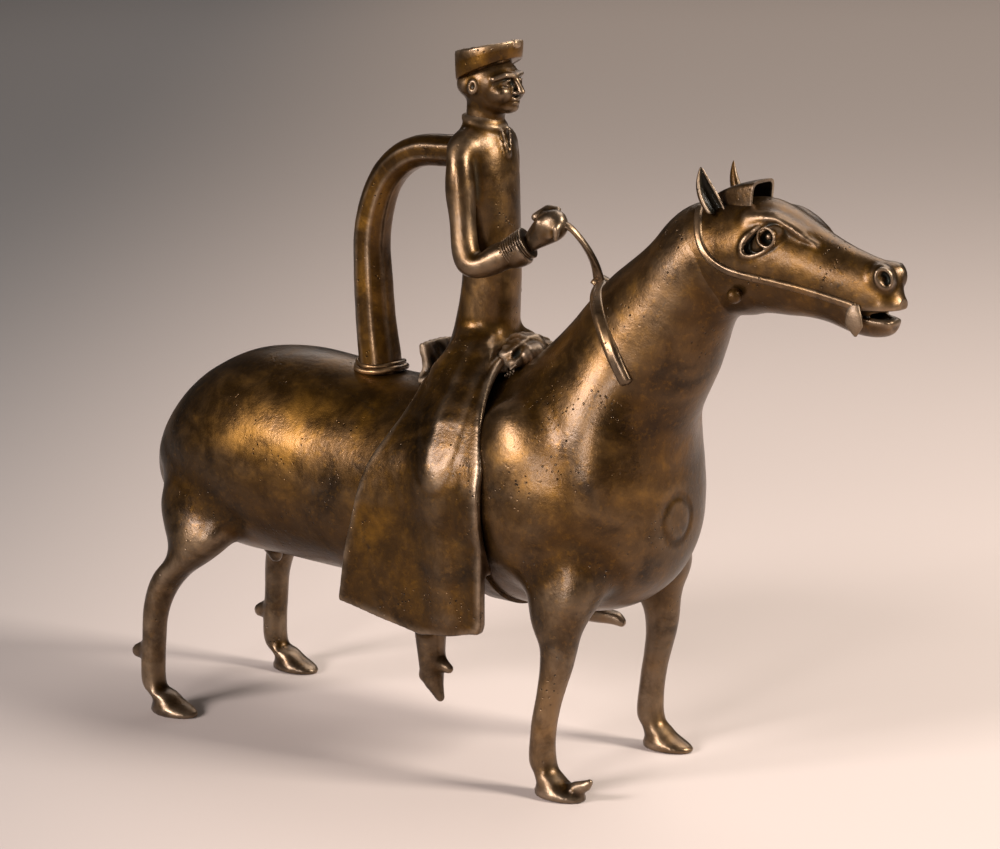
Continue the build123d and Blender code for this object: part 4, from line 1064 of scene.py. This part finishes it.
def makeCuff():
    # ribbed end of the near sleeve: radius = mean + rib * cos(2 pi * ribs * t), flaring to its edge
    path = throughRows([(26.0, -20.4, 240.3), (30.5, -19.2, 243.2), (35.4, -17.8, 246.2)], 110)
    share = np.linspace(0, 1, 110)
    radius = 6.5 + 0.9 * share - 0.2 * np.cos(2 * np.pi * 9 * share) * np.minimum(1, share * 12)
    radius[-5:] *= np.array([1, 0.99, 0.96, 0.9, 0.8])
    rings = carriedProfile(path, radius, radius, roundProfile(56))
    points, quads, fans, _ = closedSkin(rings)
    rib = 0.5 - 0.5 * np.cos(2 * np.pi * 9 * share)
    addPiece("cuff_ribs", points, tidyFaces(points, [quads, fans]), finishes["bronze_worn"], (),
             {"wear": np.concatenate([np.repeat(rib * 0.7, 56), [0, 0]]),
              "hollow": np.concatenate([np.repeat((1 - rib) * 0.3, 56), [0, 0]])})


makeCuff()


def makeSaddle():
    block = newBlock((-42, -50, 140), (46, 50, 206), 0.8)
    field = nodeField(block, "saddle_seat")
    for name, thinner in (("saddle_pommel", 0.3), ("saddle_cantle", 0.2), ("saddle_skirt_left", 1.5),
                          ("saddle_skirt_right", 1.5)):
        field = melt(field, nodeField(block, name) + thinner, 3.0)
    field = melt(field, lump(block, (19.6, 0, 189.2), (12.6, 14.5, 11.8), 8), 2.0)
    field = melt(field, rod(block, (28.6, -8, 193.4), (28.6, 8, 193.4), 3.6, 3.6), 2.5)
    field = carve(field, lump(block, (26.0, 12.5, 184.6), (4.6, 5.5, 2.8), -25, True), 1.0)
    field = soften(field, 1)
    return clayPiece("saddle_lumps", block, field, finishes["bronze_dark"],
                     ("saddle_seat", "saddle_pommel", "saddle_cantle", "saddle_skirt_left", "saddle_skirt_right"),
                     [(10, 0.55, 61), (4.2, 0.3, 62)], passes=2)


makeSaddle()

# ---- stage: paper floor with a painted falloff and a painted shadow, a dim world and soft lamps
# floor is the paper's own colour; far is painted falloff of the light further back; left is painted shadow towards
# the camera's left
paperAndPaintedShade = {"floor": (0.52, 0.44, 0.40), "far": (0.34, 0.29, 0.26), "left": (0.19, 0.18, 0.178)}
floorMesh = bpy.data.meshes.new("floor")
floorMesh.from_pydata([(-12, -12, 0), (12, -12, 0), (12, 12, 0), (-12, 12, 0)], [], [(0, 1, 2, 3)])
floor = bpy.data.objects.new("floor", floorMesh)
bpy.context.scene.collection.objects.link(floor)
floorMaterial = bpy.data.materials.new("paper")
floorMaterial.use_nodes = True
tree = floorMaterial.node_tree
paper = tree.nodes["Principled BSDF"]
paper.inputs["Roughness"].default_value = 0.85
where = tree.nodes.new("ShaderNodeSeparateXYZ")
link(tree, tree.nodes.new("ShaderNodeTexCoord").outputs["Object"], where.inputs[0])
# painted falloff: the paper darkens away from the camera towards the far colour, standing in for the light dying off
# with distance
depth = mathNode(tree, "SUBTRACT", mathNode(tree, "MULTIPLY", where.outputs["Y"], 0.8),
                 mathNode(tree, "MULTIPLY", where.outputs["X"], 0.6))
# painted shadow: the paper darkens towards the camera's left, standing in for the object's cast shadow and the dimmer
# light there
paintedShadowWay = mathNode(tree, "SUBTRACT", mathNode(tree, "MULTIPLY", where.outputs["X"], -0.82),
                    mathNode(tree, "MULTIPLY", where.outputs["Y"], 0.58))
paperWithPaintedShade = blendColour(tree, rangeNode(tree, depth, 0.0, 3.6), paperAndPaintedShade["floor"], paperAndPaintedShade["far"])
paperWithPaintedShade = blendColour(tree, rangeNode(tree, paintedShadowWay, 0.0, 0.55), paperWithPaintedShade, paperAndPaintedShade["left"])
link(tree, paperWithPaintedShade, paper.inputs["Base Color"])
floorMesh.materials.append(floorMaterial)

world = bpy.data.worlds.new("studio")
world.use_nodes = True
world.node_tree.nodes["Background"].inputs["Color"].default_value = (0.030, 0.027, 0.025, 1)
world.node_tree.nodes["Background"].inputs["Strength"].default_value = 1.0
bpy.context.scene.world = world


def softLight(name, place, target, width, height, power, colour=(1, 1, 1)):
    data = bpy.data.lights.new(name, "AREA")
    data.shape = "RECTANGLE"
    data.size, data.size_y, data.energy, data.color = width, height, power, colour
    lamp = bpy.data.objects.new(name, data)
    lamp.location = place
    lamp.rotation_euler = (Vector(target) - Vector(place)).to_track_quat("-Z", "Y").to_euler()
    bpy.context.scene.collection.objects.link(lamp)


softLight("keyRight", (1.7, 0.35, 1.25), (0, 0, 0.12), 0.55, 0.55, 62, (1.0, 0.94, 0.87))
softLight("fillLeft", (-0.7, -1.7, 0.95), (0, 0, 0.15), 0.6, 0.42, 44, (1.0, 0.93, 0.92))
softLight("front", (0.2, -1.9, 0.55), (0.05, 0, 0.14), 0.26, 0.44, 15, (1.0, 0.93, 0.91))
softLight("wash", (-1.4, 3.6, 2.4), (-1.5, 3.9, 0), 3.4, 2.6, 70, (1.0, 0.92, 0.86))
softLight("above", (0.2, 0.9, 1.6), (0, 0.7, 0.0), 1.2, 0.9, 16, (1.0, 0.94, 0.90))
